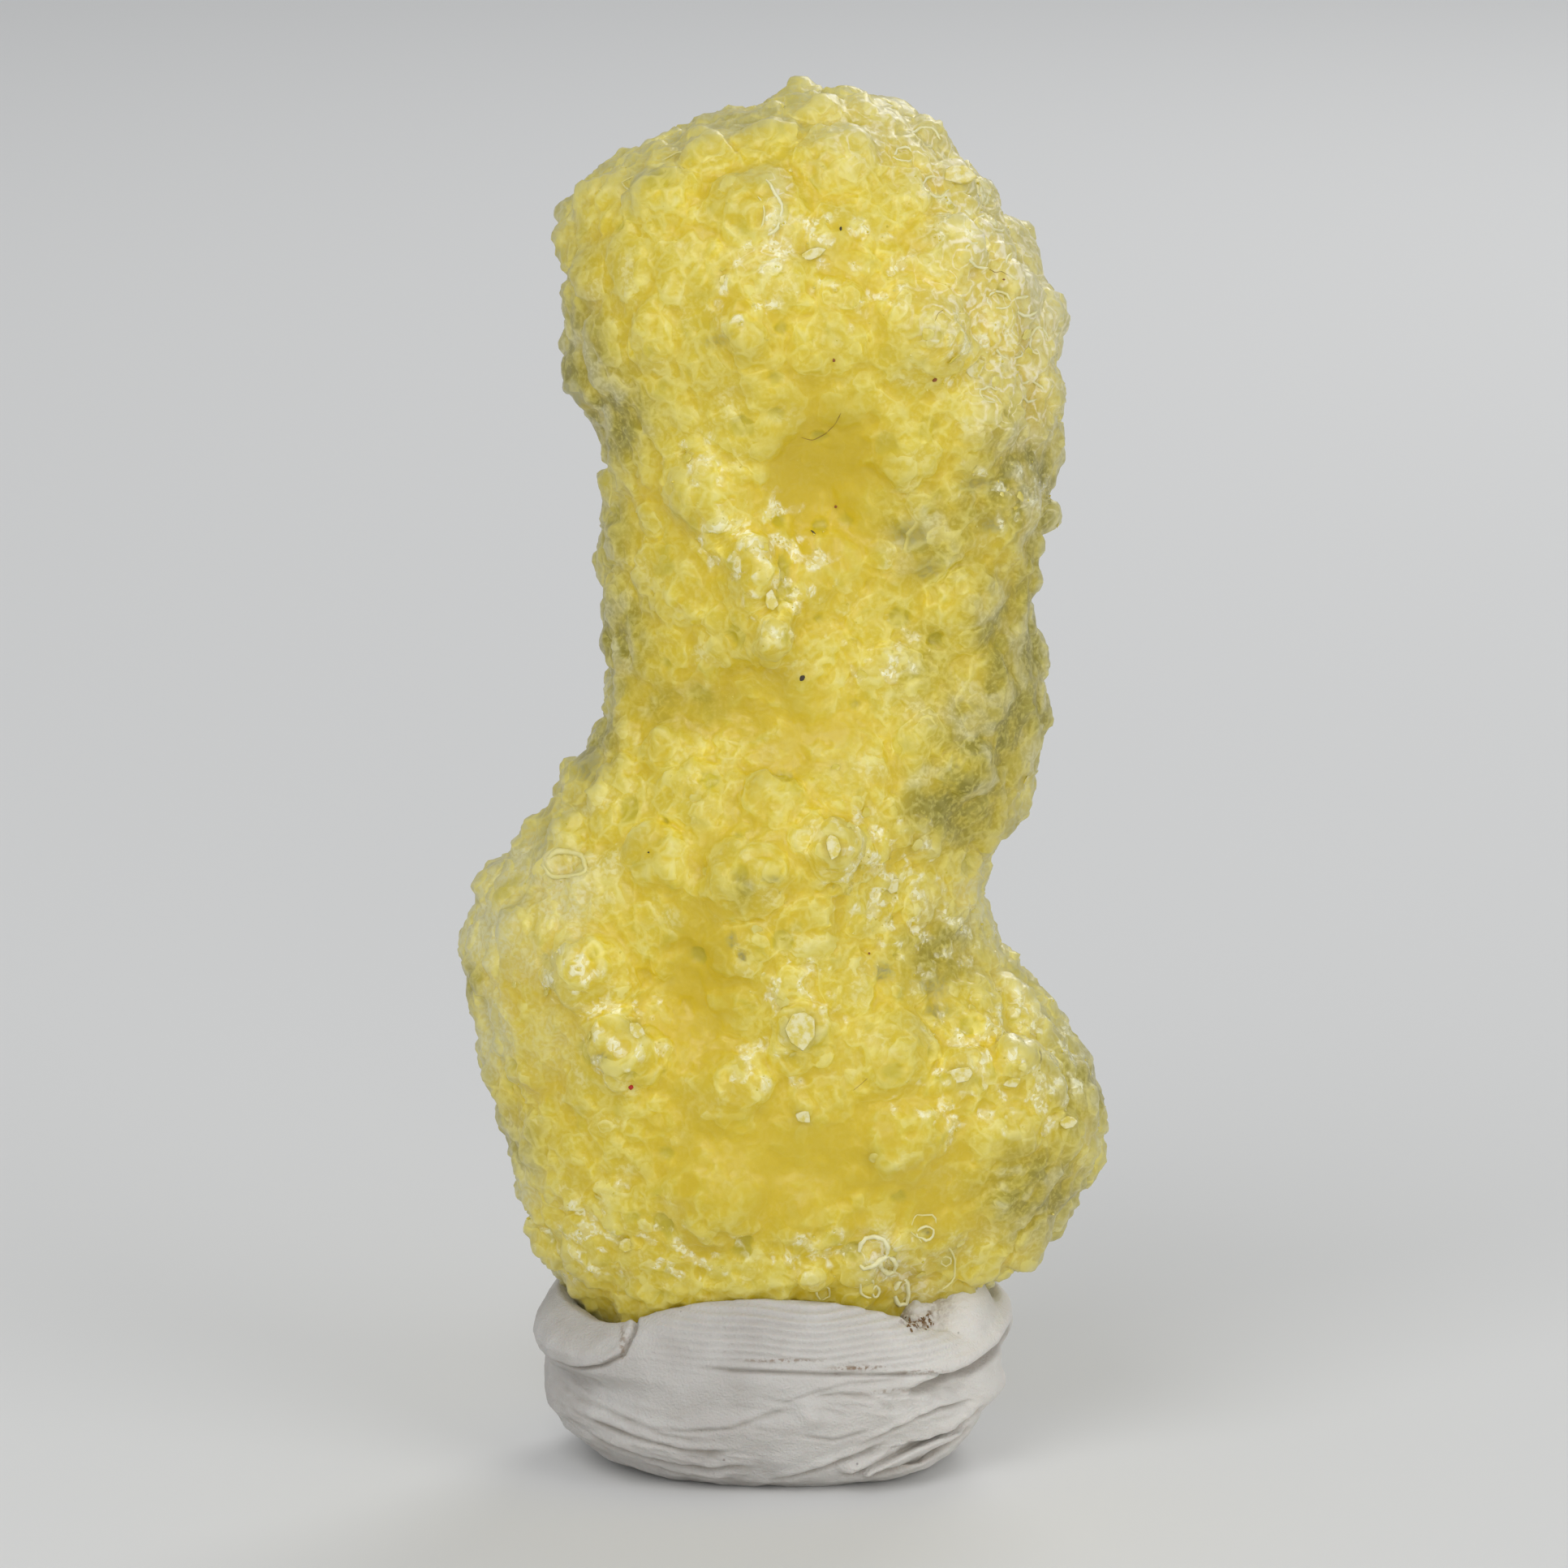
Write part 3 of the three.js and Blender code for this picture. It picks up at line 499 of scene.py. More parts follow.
# What is pressed into the front starts at y = 0 and reaches its full depth this far in front of it
PUTTY_FRONT_FADE = 2.5
LUMP_SIZE = 1.6
LUMP_HEIGHT = 0.05
LUMP_HEIGHT_LOW = 0.07
WRINKLE_LENGTH = 2.6
WRINKLE_PITCH = 0.5
WRINKLE_DEPTH = 0.3
WRINKLE_DEPTH_ELSEWHERE = 0.02
# The ridges of the finger that pressed the front
PRINT_PITCH = 0.47
PRINT_DEPTH = 0.09
PRINT_PATCHES = [
    (1.0, 10.4, 8.0, 2.0, 1.0),
    (6.0, 9.0, 5.0, 1.2, 0.8),
    (-5.0, 9.4, 4.4, 1.4, 0.5),
]
WRINKLED_PATCHES = [
    (-10.4, 3.4, 5.4, 1.8, 0.6),
    (-6.0, 2.4, 5.0, 1.4, 0.6),
    (-12.6, 6.0, 2.6, 1.2, 0.4),
    (6.6, 6.2, 4.4, 1.2, 0.6),
    (0.0, 5.2, 3.0, 1.6, 0.3),
    (9.6, 3.6, 3.4, 1.8, 0.5),
]
# Creases: width and depth, the lip above as a share of the depth, then points as x and height
PUTTY_CREASES = [
    (0.12, 0.3, 0.3, (-5.4, 8.5), (-3.0, 8.35), (0.0, 8.3), (3.0, 8.15), (6.0, 7.95),
     (9.0, 7.6), (11.4, 7.1)),
    (0.34, 0.7, 0.4, (7.6, 6.5), (9.2, 6.9), (11.5, 7.3), (13.4, 8.0), (14.4, 8.9)),
    (0.13, 0.14, 0.4, (-0.3, 6.2), (2.0, 7.0), (4.0, 7.5), (8.0, 7.6)),
    (0.12, 0.12, 0.4, (1.4, 6.6), (3.4, 6.9), (5.6, 6.7), (8.0, 6.3)),
    (0.14, 0.16, 0.4, (0.4, 5.9), (-1.6, 5.3), (-3.3, 4.6), (-6.0, 4.3), (-9.0, 4.4)),
    (0.14, 0.28, 0.5, (4.4, 3.2), (6.4, 4.0), (8.0, 4.7), (9.7, 5.1), (12.0, 5.0)),
    (0.24, 0.8, 0.7, (3.6, 1.0), (4.7, 1.6), (7.2, 2.5), (10.7, 3.5), (12.4, 4.4)),
    (0.26, 0.8, 0.8, (4.8, 0.8), (5.7, 1.2), (8.0, 1.8), (10.2, 2.2), (11.6, 3.0)),
    (0.18, 0.35, 0.5, (-1.0, 0.7), (1.6, 1.5), (4.4, 2.6), (6.4, 3.2)),
    (0.16, 0.3, 0.5, (6.0, 2.6), (7.6, 3.2), (9.4, 3.5)),
    (0.13, 0.42, 0.2, (-16.0, 7.4), (-13.0, 7.3), (-11.3, 7.9), (-9.9, 8.9), (-9.2, 10.3), (-9.0, 11.4)),
    (0.16, 0.16, 0.6, (-14.4, 5.6), (-11.0, 5.1), (-7.4, 4.0), (-4.0, 3.4)),
    (0.18, 0.28, 0.6, (-13.4, 4.4), (-10.0, 3.8), (-6.0, 3.0), (-3.0, 2.9)),
    (0.18, 0.35, 0.6, (-12.0, 3.0), (-8.6, 2.2), (-5.0, 1.6), (-2.4, 1.9)),
    (0.16, 0.3, 0.6, (-9.0, 1.6), (-6.0, 0.9), (-3.0, 0.8)),
    (0.14, 0.14, 0.4, (1.0, 4.2), (3.0, 3.8), (5.4, 4.4)),
]
# Bumps on the front: x, height, half width, half height and rise
PUTTY_BUMPS = [
    (1.5, 5.7, 0.8, 0.8, 0.5),
    (2.0, 5.2, 0.5, 0.4, 0.25),
    (13.0, 5.2, 1.0, 0.9, 0.5),
]
# What fills the hollow at the right: places and radii
PUTTY_LUMPS = [
    ((10.6, -2.8, 7.6), (2.9, 4.4, 5.0)),
    ((8.2, -4.2, 8.4), (1.7, 3.2, 3.4)),
]
# Brown dirt on the putty, with heights taken along the line of sight as on the brucite
SOILED_PATCHES = [
    (8.4, 8.75, 0.8, 0.35, 1.0),
    (8.95, 9.0, 0.25, 0.6, 1.0),
    (9.6, 9.7, 0.9, 1.1, 0.3),
    (7.6, 9.0, 0.6, 0.35, 0.6),
    (-0.2, 6.6, 2.6, 0.12, 0.7),
    (4.6, 6.1, 1.8, 0.14, 0.9),
    (8.4, 5.75, 1.4, 0.14, 0.7),
    (6.4, 4.6, 1.4, 0.12, 0.6),
    (-9.9, 7.6, 0.2, 1.2, 0.6),
]
SOIL_GRAIN_COUNT = 22
SOIL_MIDDLE = (8.5, 8.75)
SOIL_SPREAD = (0.42, 0.17)
SOIL_GRAIN_WIDTHS = (0.08, 0.22)
SOIL_GRAIN_HEIGHTS = (0.1, 0.4)


def mm(*values):
    """Millimetres to metres."""
    return Vector(value * MM for value in values)


def select_only(*pieces):
    """Deselects everything, then selects these and makes the first one active."""
    bpy.ops.object.select_all(action="DESELECT")
    for piece in pieces:
        piece.select_set(True)
    bpy.context.view_layer.objects.active = pieces[0]


def new_primitive(add_operator, **settings):
    """Adds one primitive, with nothing else selected."""
    bpy.ops.object.select_all(action="DESELECT")
    add_operator(**settings)
    return bpy.context.active_object


def apply_modifier(piece, name, kind, **settings):
    """Adds one modifier with its settings and applies it."""
    modifier = piece.modifiers.new(name, kind)
    for key, value in settings.items():
        setattr(modifier, key, value)
    select_only(piece)
    bpy.ops.object.modifier_apply(modifier=name)


def triangle_count(piece):
    return sum(len(face.vertices) - 2 for face in piece.data.polygons)


def thin_to(piece, wanted):
    """Brings a piece down to a number of triangles, flattest places first."""
    share = wanted / triangle_count(piece)
    if share < 1.0:
        apply_modifier(piece, "thinning", "DECIMATE", ratio=share)


def thin_unseen(piece, kept):
    """Thins only what lies behind or in the putty, where the photograph shows nothing."""
    select_only(piece)
    bpy.ops.object.mode_set(mode="EDIT")
    bpy.ops.mesh.select_mode(type="VERT")
    bpy.ops.mesh.select_all(action="DESELECT")
    bpy.ops.object.mode_set(mode="OBJECT")
    unseen = [vertex.co.y > BACK_FROM_Y or vertex.co.z < SUNK_BELOW_Z for vertex in piece.data.vertices]
    piece.data.vertices.foreach_set("select", unseen)
    bpy.ops.object.mode_set(mode="EDIT")
    bpy.ops.mesh.decimate(ratio=kept)
    bpy.ops.object.mode_set(mode="OBJECT")


def even_copy(node_name, piece_name, voxel, rounds, lumps=()):
    """A copy of a CAD node, with lumps joined on, as one even skin: merged, remeshed and smoothed."""
    select_only(frame["nodes"][node_name])
    bpy.ops.object.duplicate()
    piece = bpy.context.active_object
    piece.name = piece_name
    del piece["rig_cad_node"]
    bpy.ops.object.mode_set(mode="EDIT")
    bpy.ops.mesh.select_all(action="SELECT")
    bpy.ops.mesh.remove_doubles(threshold=1e-7)
    bpy.ops.object.mode_set(mode="OBJECT")
    if lumps:
        select_only(piece, *lumps)
        bpy.ops.object.join()
    apply_modifier(piece, "even_skin", "REMESH", mode="VOXEL", voxel_size=voxel)
    apply_modifier(piece, "worn_edges", "SMOOTH", factor=0.5, iterations=rounds)
    return piece


def smooth_shaded(piece):
    select_only(piece)
    bpy.ops.object.shade_smooth()
    return piece


def joined(name, pieces):
    """Some pieces as one, at the origin and unturned."""
    select_only(*pieces)
    bpy.ops.object.join()
    piece = bpy.context.active_object
    piece.name = name
    bpy.ops.object.transform_apply(location=True, rotation=True, scale=True)
    return piece


def surface_of(piece):
    """A piece's surface, ready for lines of sight to be cast at it."""
    return BVHTree.FromObject(piece, bpy.context.evaluated_depsgraph_get())


def sight_line(x, height):
    """Where a line of sight starts and runs, given where it crosses the plane y = 0."""
    start = mm(x, -SIGHT_START, height + SIGHT_START * SIGHT_FALL)
    return start, Vector((0.0, 1.0, -SIGHT_FALL)).normalized()


def front_hit(surface, x, height):
    """Where the line of sight through a place meets a surface, and the surface's normal there."""
    hit, normal, _, _ = surface.ray_cast(*sight_line(x, height))
    return hit, normal


# Numbers kept on a piece's points


def values_of(piece, name, width=1):
    """One of a piece's point attributes as an array, with a width of 3 for a place or a direction."""
    data = piece.data.attributes[name].data
    values = np.empty(len(data) * width, np.float32)
    data.foreach_get("vector" if width == 3 else "value", values)
    return values.reshape(-1, width) if width == 3 else values


def keep_values(piece, name, values):
    """Keeps one number for each of a piece's points as an attribute."""
    attribute = piece.data.attributes.new(name, "FLOAT", "POINT")
    attribute.data.foreach_set("value", values)


def oval_distance(x, height, middle_x, middle_height, half_width, half_height):
    """The square of how far each place lies from an oval's middle, 1 on the oval."""
    return ((x - middle_x) / half_width) ** 2 + ((height - middle_height) / half_height) ** 2


def patch_share(x, height, patches):
    """How deep inside a list of soft-edged oval patches each place lies, from 0 to 1."""
    total = np.zeros(len(x), np.float32)
    for *oval, strength in patches:
        away = oval_distance(x, height, *oval)
        total = np.maximum(total, strength * np.exp(-(away**1.5)))
    return total


def paint_patches(piece, name, patches):
    """Keeps as an attribute how deep inside the listed patches each point of the front lies."""
    x, y, z = values_of(piece, "position", 3).T / MM
    front = np.clip((FRONT_ENDS_AT_Y - y) / FRONT_FADE, 0.0, 1.0)
    keep_values(piece, name, patch_share(x, z + y * SIGHT_FALL, patches) * front)


# Building node trees


def add_node(tree, kind, inputs=None, **settings):
    """Adds one node with its settings. Inputs are sockets to link or values to set."""
    made = tree.nodes.new(kind)
    for key, value in settings.items():
        setattr(made, key, value)
    for key, value in (inputs or {}).items():
        socket = made.inputs[key]
        if isinstance(value, bpy.types.NodeSocket):
            tree.links.new(value, socket)
        else:
            socket.default_value = value
    return made


def maths(tree, operation, first, second=0.0):
    return add_node(tree, "ShaderNodeMath", {0: first, 1: second}, operation=operation).outputs[0]


def times(tree, first, second):
    return maths(tree, "MULTIPLY", first, second)


def added(tree, *parts):
    """The sum of some values, each given as a value and its factor."""
    total = 0.0
    for value, factor in parts:
        total = maths(tree, "ADD", total, times(tree, value, factor))
    return total


def vector_maths(tree, operation, first, second):
    made = add_node(tree, "ShaderNodeVectorMath", {0: first, 1: second}, operation=operation)
    return made.outputs["Value" if operation == "DOT_PRODUCT" else "Vector"]


def scaled(tree, vector, factor):
    made = add_node(tree, "ShaderNodeVectorMath", {0: vector, "Scale": factor}, operation="SCALE")
    return made.outputs["Vector"]


def unit(tree, vector):
    """A vector's direction alone."""
    return add_node(tree, "ShaderNodeVectorMath", {0: vector}, operation="NORMALIZE").outputs["Vector"]


def part_of(tree, vector, number):
    """One of the three parts of a vector or a colour, counted from 0."""
    return add_node(tree, "ShaderNodeSeparateXYZ", {0: vector}).outputs[number]


def ramp_between(tree, value, low, high, to_low=0.0, to_high=1.0):
    """Smoothly from to_low, where value is low, to to_high, where it is high."""
    inputs = {"Value": value, 1: low, 2: high, 3: to_low, 4: to_high}
    made = add_node(tree, "ShaderNodeMapRange", inputs, interpolation_type="SMOOTHSTEP")
    return made.outputs["Result"]


def noise_at(tree, place, size, detail=2.0):
    inputs = {"Vector": place, "Scale": 1.0 / size, "Detail": detail}
    return add_node(tree, "ShaderNodeTexNoise", inputs).outputs


def about_zero(tree, place, size, detail):
    """Noise that swings evenly about zero."""
    return maths(tree, "SUBTRACT", noise_at(tree, place, size, detail)["Fac"], 0.5)


def voronoi_at(tree, place, size, feature):
    inputs = {"Vector": place, "Scale": 1.0 / size}
    return add_node(tree, "ShaderNodeTexVoronoi", inputs, feature=feature).outputs


def warped(tree, place):
    """A place pushed about by noise, so that cells get scalloped and uneven edges."""
    push = noise_at(tree, place, WARP_SIZE)["Color"]
    centred = vector_maths(tree, "SUBTRACT", push, (0.5, 0.5, 0.5))
    return vector_maths(tree, "ADD", place, scaled(tree, centred, 2.0 * WARP_REACH))


# Growing the brucite's surface


def new_modifier_tree(name):
    tree = bpy.data.node_groups.new(name, "GeometryNodeTree")
    tree.interface.new_socket("Geometry", in_out="INPUT", socket_type="NodeSocketGeometry")
    tree.interface.new_socket("Geometry", in_out="OUTPUT", socket_type="NodeSocketGeometry")
    return tree


def keep_attribute(tree, geometry, name, value, data_type="FLOAT"):
    inputs = {"Geometry": geometry, "Name": name, "Value": value}
    made = add_node(tree, "GeometryNodeStoreNamedAttribute", inputs, data_type=data_type)
    return made.outputs["Geometry"]


def stored(tree, name, data_type="FLOAT"):
    inputs = {"Name": name}
    return add_node(tree, "GeometryNodeInputNamedAttribute", inputs, data_type=data_type).outputs[0]


def moved(tree, geometry, offset):
    inputs = {"Geometry": geometry, "Offset": offset}
    return add_node(tree, "GeometryNodeSetPosition", inputs).outputs["Geometry"]


def point_place(tree):
    return add_node(tree, "GeometryNodeInputPosition").outputs[0]


def point_normal(tree):
    return add_node(tree, "GeometryNodeInputNormal").outputs[0]


def blurred(tree, vector, rounds):
    """A vector evened out between each point and its neighbours, over and over."""
    inputs = {"Value": vector, "Iterations": rounds}
    return add_node(tree, "GeometryNodeBlurAttribute", inputs, data_type="FLOAT_VECTOR").outputs[0]


def step_from_neighbours(tree, rounds):
    """The step from the surface round each point to the point, as a vector."""
    place = point_place(tree)
    return vector_maths(tree, "SUBTRACT", place, blurred(tree, place, rounds))


def height_over_neighbours(tree, rounds):
    """How far each point stands out from the surface round it, in metres."""
    return vector_maths(tree, "DOT_PRODUCT", step_from_neighbours(tree, rounds), point_normal(tree))


def with_nodules_lowered(tree, shape):
    """Keeps how far the nodules stand out and which way the broad skin faces, then lowers them."""
    crest = maths(tree, "DIVIDE", height_over_neighbours(tree, CREST_ROUNDS), CREST_SPAN)
    shape = keep_attribute(tree, shape, "crest", crest)
    broad_normal = unit(tree, blurred(tree, point_normal(tree), CREST_ROUNDS))
    broadside = maths(tree, "ABSOLUTE", part_of(tree, broad_normal, 1))
    shape = keep_attribute(tree, shape, "broadside", broadside)
    side_change = SIDE_NODULES_KEPT - 1.0
    front_change = NODULES_KEPT - 1.0
    change = ramp_between(tree, stored(tree, "broadside"), 0.3, 0.8, side_change, front_change)
    return moved(tree, shape, scaled(tree, step_from_neighbours(tree, FLATTEN_ROUNDS), change))


def domes_at(tree, place, size):
    """Rounded domes side by side, some low and some high, from 0 between them to 1 on top."""
    cell = voronoi_at(tree, place, size, "F1")
    away = maths(tree, "DIVIDE", cell["Distance"], DOME_REACH)
    round_top = maths(tree, "MAXIMUM", maths(tree, "SUBTRACT", 1.0, times(tree, away, away)), 0.0)
    height = ramp_between(tree, part_of(tree, cell["Color"], 0), 0.0, 1.0, DOME_LOWEST, 1.0)
    return times(tree, maths(tree, "SQRT", round_top), height)


def growth_forms(tree):
    """The forms of the growth as patterns, each under its name."""
    grown_at = stored(tree, "grown_at", "FLOAT_VECTOR")
    crowded = about_zero(tree, point_place(tree), DOME_PATCH, 2.0)
    crowded = ramp_between(tree, crowded, -0.08, 0.06, 0.2, 1.0)
    return {
        "mound": voronoi_at(tree, grown_at, MOUND_SIZE, "SMOOTH_F1")["Distance"],
        "lobe": voronoi_at(tree, grown_at, LOBE_SIZE, "SMOOTH_F1")["Distance"],
        "cell": voronoi_at(tree, grown_at, CELL_SIZE, "DISTANCE_TO_EDGE")["Distance"],
        "dome": times(tree, domes_at(tree, grown_at, DOME_SIZE), crowded),
        "grain": domes_at(tree, grown_at, GRAIN_SIZE),
        "torn": about_zero(tree, grown_at, TORN_SIZE, 3.0),
        "swell": about_zero(tree, grown_at, SWELL_SIZE, 1.0),
    }


def pit_share(tree, place):
    """How deep inside one of the few round pits a place lies, from 0 to 1."""
    pit = voronoi_at(tree, place, PIT_SIZE, "F1")
    radius = ramp_between(tree, part_of(tree, pit["Color"], 1), 0.0, 1.0, *PIT_RADII)
    inside = ramp_between(tree, maths(tree, "SUBTRACT", pit["Distance"], radius), 0.05, -0.06)
    return times(tree, inside, ramp_between(tree, part_of(tree, pit["Color"], 0), *PIT_CHOICE))


def with_patterns_kept(tree, shape, forms):
    """Keeps each pattern that the material reads as an attribute, worked out once on the skin."""
    grown_at = stored(tree, "grown_at", "FLOAT_VECTOR")
    crest = stored(tree, "crest")
    mound, lobe = forms["mound"], forms["lobe"]
    broad = about_zero(tree, grown_at, BROAD_SIZE, 2.0)
    shell_parts = ((1.24, 1.0), (crest, 0.5), (mound, -2.2), (lobe, -0.5), (forms["torn"], 1.0))
    # The tone is partly painted light and shade: lighter on crests, lobes and domes, darker between them
    tone_parts = ((crest, 0.35), (lobe, -0.9), (forms["dome"], 0.55), (0.25, 1.0), (broad, 1.6))
    low = ramp_between(tree, crest, -0.2, -1.2, 0.0, 0.3)
    low = maths(tree, "MAXIMUM", low, times(tree, stored(tree, "clear"), CLEAR_QUIET))
    patterns = {
        "shell_level": added(tree, *shell_parts),
        "pit": pit_share(tree, grown_at),
        "tone": added(tree, *tone_parts),
        "patchy": about_zero(tree, grown_at, PATCHY_SIZE, 2.0),
        "mottle": about_zero(tree, grown_at, MOTTLE_SIZE, 4.0),
        "worm": noise_at(tree, grown_at, WORM_SIZE, 2.5)["Fac"],
        "quiet": maths(tree, "MAXIMUM", stored(tree, "golden"), low),
    }
    for name, value in patterns.items():
        shape = keep_attribute(tree, shape, name, value)
    return shape


def growth_height(tree, forms):
    """How far the growth lifts each point along its normal, in metres."""
    lively = ramp_between(tree, stored(tree, "quiet"), 0.2, 1.0, 1.0, 0.5)
    side = maths(tree, "ABSOLUTE", part_of(tree, stored(tree, "facing", "FLOAT_VECTOR"), 1))
    swollen = ramp_between(tree, side, 0.8, 0.3, 1.0, SIDE_SWELL)
    shell_level = times(tree, stored(tree, "shell_level"), SHELLS_PER_LEVEL)
    step_up = ramp_between(tree, maths(tree, "FRACT", shell_level), 0.0, 0.25)
    sparkling = ramp_between(tree, stored(tree, "sparkling"), 0.1, 0.8, 0.25, 1.0)
    froth = added(
        tree,
        (maths(tree, "ADD", maths(tree, "FLOOR", shell_level), step_up), SHELL_HEIGHT),
        (times(tree, ramp_between(tree, forms["mound"], 0.75, 0.05), swollen), MOUND_HEIGHT),
        (times(tree, ramp_between(tree, forms["lobe"], 0.7, 0.1), swollen), LOBE_HEIGHT),
        (ramp_between(tree, forms["cell"], 0.25, 0.0), CELL_RIM_HEIGHT),
        (forms["dome"], DOME_HEIGHT),
        (times(tree, forms["grain"], sparkling), GRAIN_HEIGHT),
        (forms["torn"], 2.0 * TORN_HEIGHT),
    )
    return added(
        tree,
        (SKIN_LIFT, 1.0),
        (times(tree, froth, lively), 1.0),
        (forms["swell"], 2.0 * SWELL_HEIGHT),
        (stored(tree, "pit"), -PIT_DEPTH),
        (stored(tree, "ring_height"), 1.0),
    )


def growth_tree():
    """Lowers the solid's nodules, raises the fine growth, and keeps what the finish needs of it."""
    tree = new_modifier_tree("brucite_growth")
    shape = with_nodules_lowered(tree, tree.nodes.new("NodeGroupInput").outputs[0])
    shape = keep_attribute(tree, shape, "grown_at", warped(tree, point_place(tree)), "FLOAT_VECTOR")
    shape = keep_attribute(tree, shape, "facing", point_normal(tree), "FLOAT_VECTOR")
    forms = growth_forms(tree)
    shape = with_patterns_kept(tree, shape, forms)
    shape = moved(tree, shape, scaled(tree, point_normal(tree), growth_height(tree, forms)))
    relief = maths(tree, "DIVIDE", height_over_neighbours(tree, CREST_ROUNDS // 4), CREST_SPAN / 2)
    shape = keep_attribute(tree, shape, "relief", relief)
    tree.links.new(shape, tree.nodes.new("NodeGroupOutput").inputs[0])
    return tree


# The brucite skin


def ring_at(place, radius, width, height, paleness):
    """A ringed nodule's place, its sizes in metres and its paleness."""
    return np.array(place), radius * MM, width * MM, height * MM, paleness


def ring_places(piece):
    """Where the ringed nodules are: the front's own, and seeded ones on the sides and the back."""
    chance = random.Random(12)
    surface = surface_of(piece)
    rings = []
    for x, z, *sizes in RING_NODULES:
        hit, _ = front_hit(surface, x, z)
        if hit:
            rings.append(ring_at(hit, *sizes))
    vertices = piece.data.vertices
    while len(rings) < len(RING_NODULES) + RING_COUNT_ELSEWHERE:
        place = np.array(vertices[chance.randrange(len(vertices))].co)
        if all(np.linalg.norm(place - ring[0]) > ring[1] + RING_GAP for ring in rings):
            radius = chance.uniform(*RING_RADII)
            height = chance.uniform(*RING_HEIGHTS)
            rings.append(ring_at(place, radius, RING_WIDTH, height, chance.uniform(*RING_PALENESS)))
        elif chance.random() < CROWDED_RING_CHANCE:
            rings.append(ring_at(place, *CROWDED_RING))
    return rings


def noise_over(places, size):
    """Noise of one size at each of some places."""
    return np.array([noise.noise(Vector(place) / size) for place in places])


def paint_rings(piece):
    """Keeps the ringed nodules as two attributes: how high they stand and how pale they are."""
    places = values_of(piece, "position", 3)
    heights = np.zeros(len(places), np.float32)
    tones = np.zeros(len(places), np.float32)
    for centre, radius, width, height, paleness in ring_places(piece):
        near = np.nonzero(np.abs(places - centre).max(axis=1) < radius + 3.0 * width)[0]
        away = np.linalg.norm(places[near] - centre, axis=1)
        wobble = noise_over(places[near], RING_WOBBLE_SIZE)
        bend = noise_over(places[near], RING_BEND_SIZE)
        away = away + wobble * RING_WOBBLE + bend * RING_BEND
        ring = np.exp(-(((away - radius + width) / width) ** 2)) * np.clip(0.75 + 1.6 * wobble, 0.15, 1.0)
        inside = 1.0 / (1.0 + np.exp((away - radius) / (0.3 * width)))
        heights[near] = np.maximum(heights[near], 0.5 * height * (0.5 * inside + 0.5 * ring))
        tones[near] += paleness * ring - 0.45 * inside * (1.0 - ring)
    keep_values(piece, "ring_height", heights)
    keep_values(piece, "ring_tone", tones)


def paint_pearly(piece):
    """Keeps as an attribute where the skin is pearly: in ragged spots, mostly on the sparkling patches."""
    pearly = []
    for vertex, share in zip(piece.data.vertices, values_of(piece, "sparkling")):
        ragged = noise.fractal(vertex.co / PEARLY_SIZE, 0.9, 2.1, 4)
        pearly.append(min(max(0.9 * (0.12 + share) * (0.25 + 1.9 * ragged) - 0.05, 0.0), 1.0))
    keep_values(piece, "pearly", np.array(pearly) * (1.0 - values_of(piece, "bare")))


def brucite_skin():
    piece = even_copy("brucite_mass", "brucite_skin", BRUCITE_VOXEL, BRUCITE_SMOOTHING)
    painted = {
        "sparkling": SPARKLING_PATCHES,
        "clear": CLEAR_PATCHES,
        "golden": GOLDEN_PATCHES,
        "chalky": CHALKY_PATCHES,
        "milky": MILKY_PATCHES,
        "spotted": SPOTTED_PATCHES,
        "bare": [(x, z, FACE_MARGIN * wide, FACE_MARGIN * tall, 1.0) for x, z, wide, tall, _ in FLAT_FACES],
    }
    for name, patches in painted.items():
        paint_patches(piece, name, patches)
    paint_rings(piece)
    apply_modifier(piece, "growth", "NODES", node_group=growth_tree())
    thin_unseen(piece, UNSEEN_KEPT)
    thin_to(piece, BRUCITE_TRIANGLES)
    paint_pearly(piece)
    return smooth_shaded(piece)


# Crystals scattered on the skin


def crystal_shape(size, flatness, seed):
    """One small crystal with flat faces and uneven corners, as its corners and its faces."""
    chance = random.Random(seed)
    crystal = new_primitive(bpy.ops.mesh.primitive_ico_sphere_add, subdivisions=1, radius=size / 2)
    for vertex in crystal.data.vertices:
        vertex.co *= chance.uniform(0.7, 1.25)
    bpy.ops.object.mode_set(mode="EDIT")
    bpy.ops.mesh.select_all(action="SELECT")
    bpy.ops.transform.resize(value=(1.0, chance.uniform(0.7, 1.0), flatness))
    bpy.ops.object.mode_set(mode="OBJECT")
    corners = np.array([vertex.co for vertex in crystal.data.vertices])
    faces = [tuple(face.vertices) for face in crystal.data.polygons]
    bpy.data.objects.remove(crystal)
    return corners, faces


def turned_about(normal, spin):
    """The matrix that stands a shape on a surface and spins it about the surface's normal."""
    across = normal.orthogonal().normalized()
    first = across * math.cos(spin) + normal.cross(across) * math.sin(spin)
    return np.array([first, normal.cross(first), normal]).T


def chosen_points(chance, likely):
    """The numbers of the points that are picked, given how likely each one is."""
    return [number for number, share in enumerate(likely) if chance.random() < share]


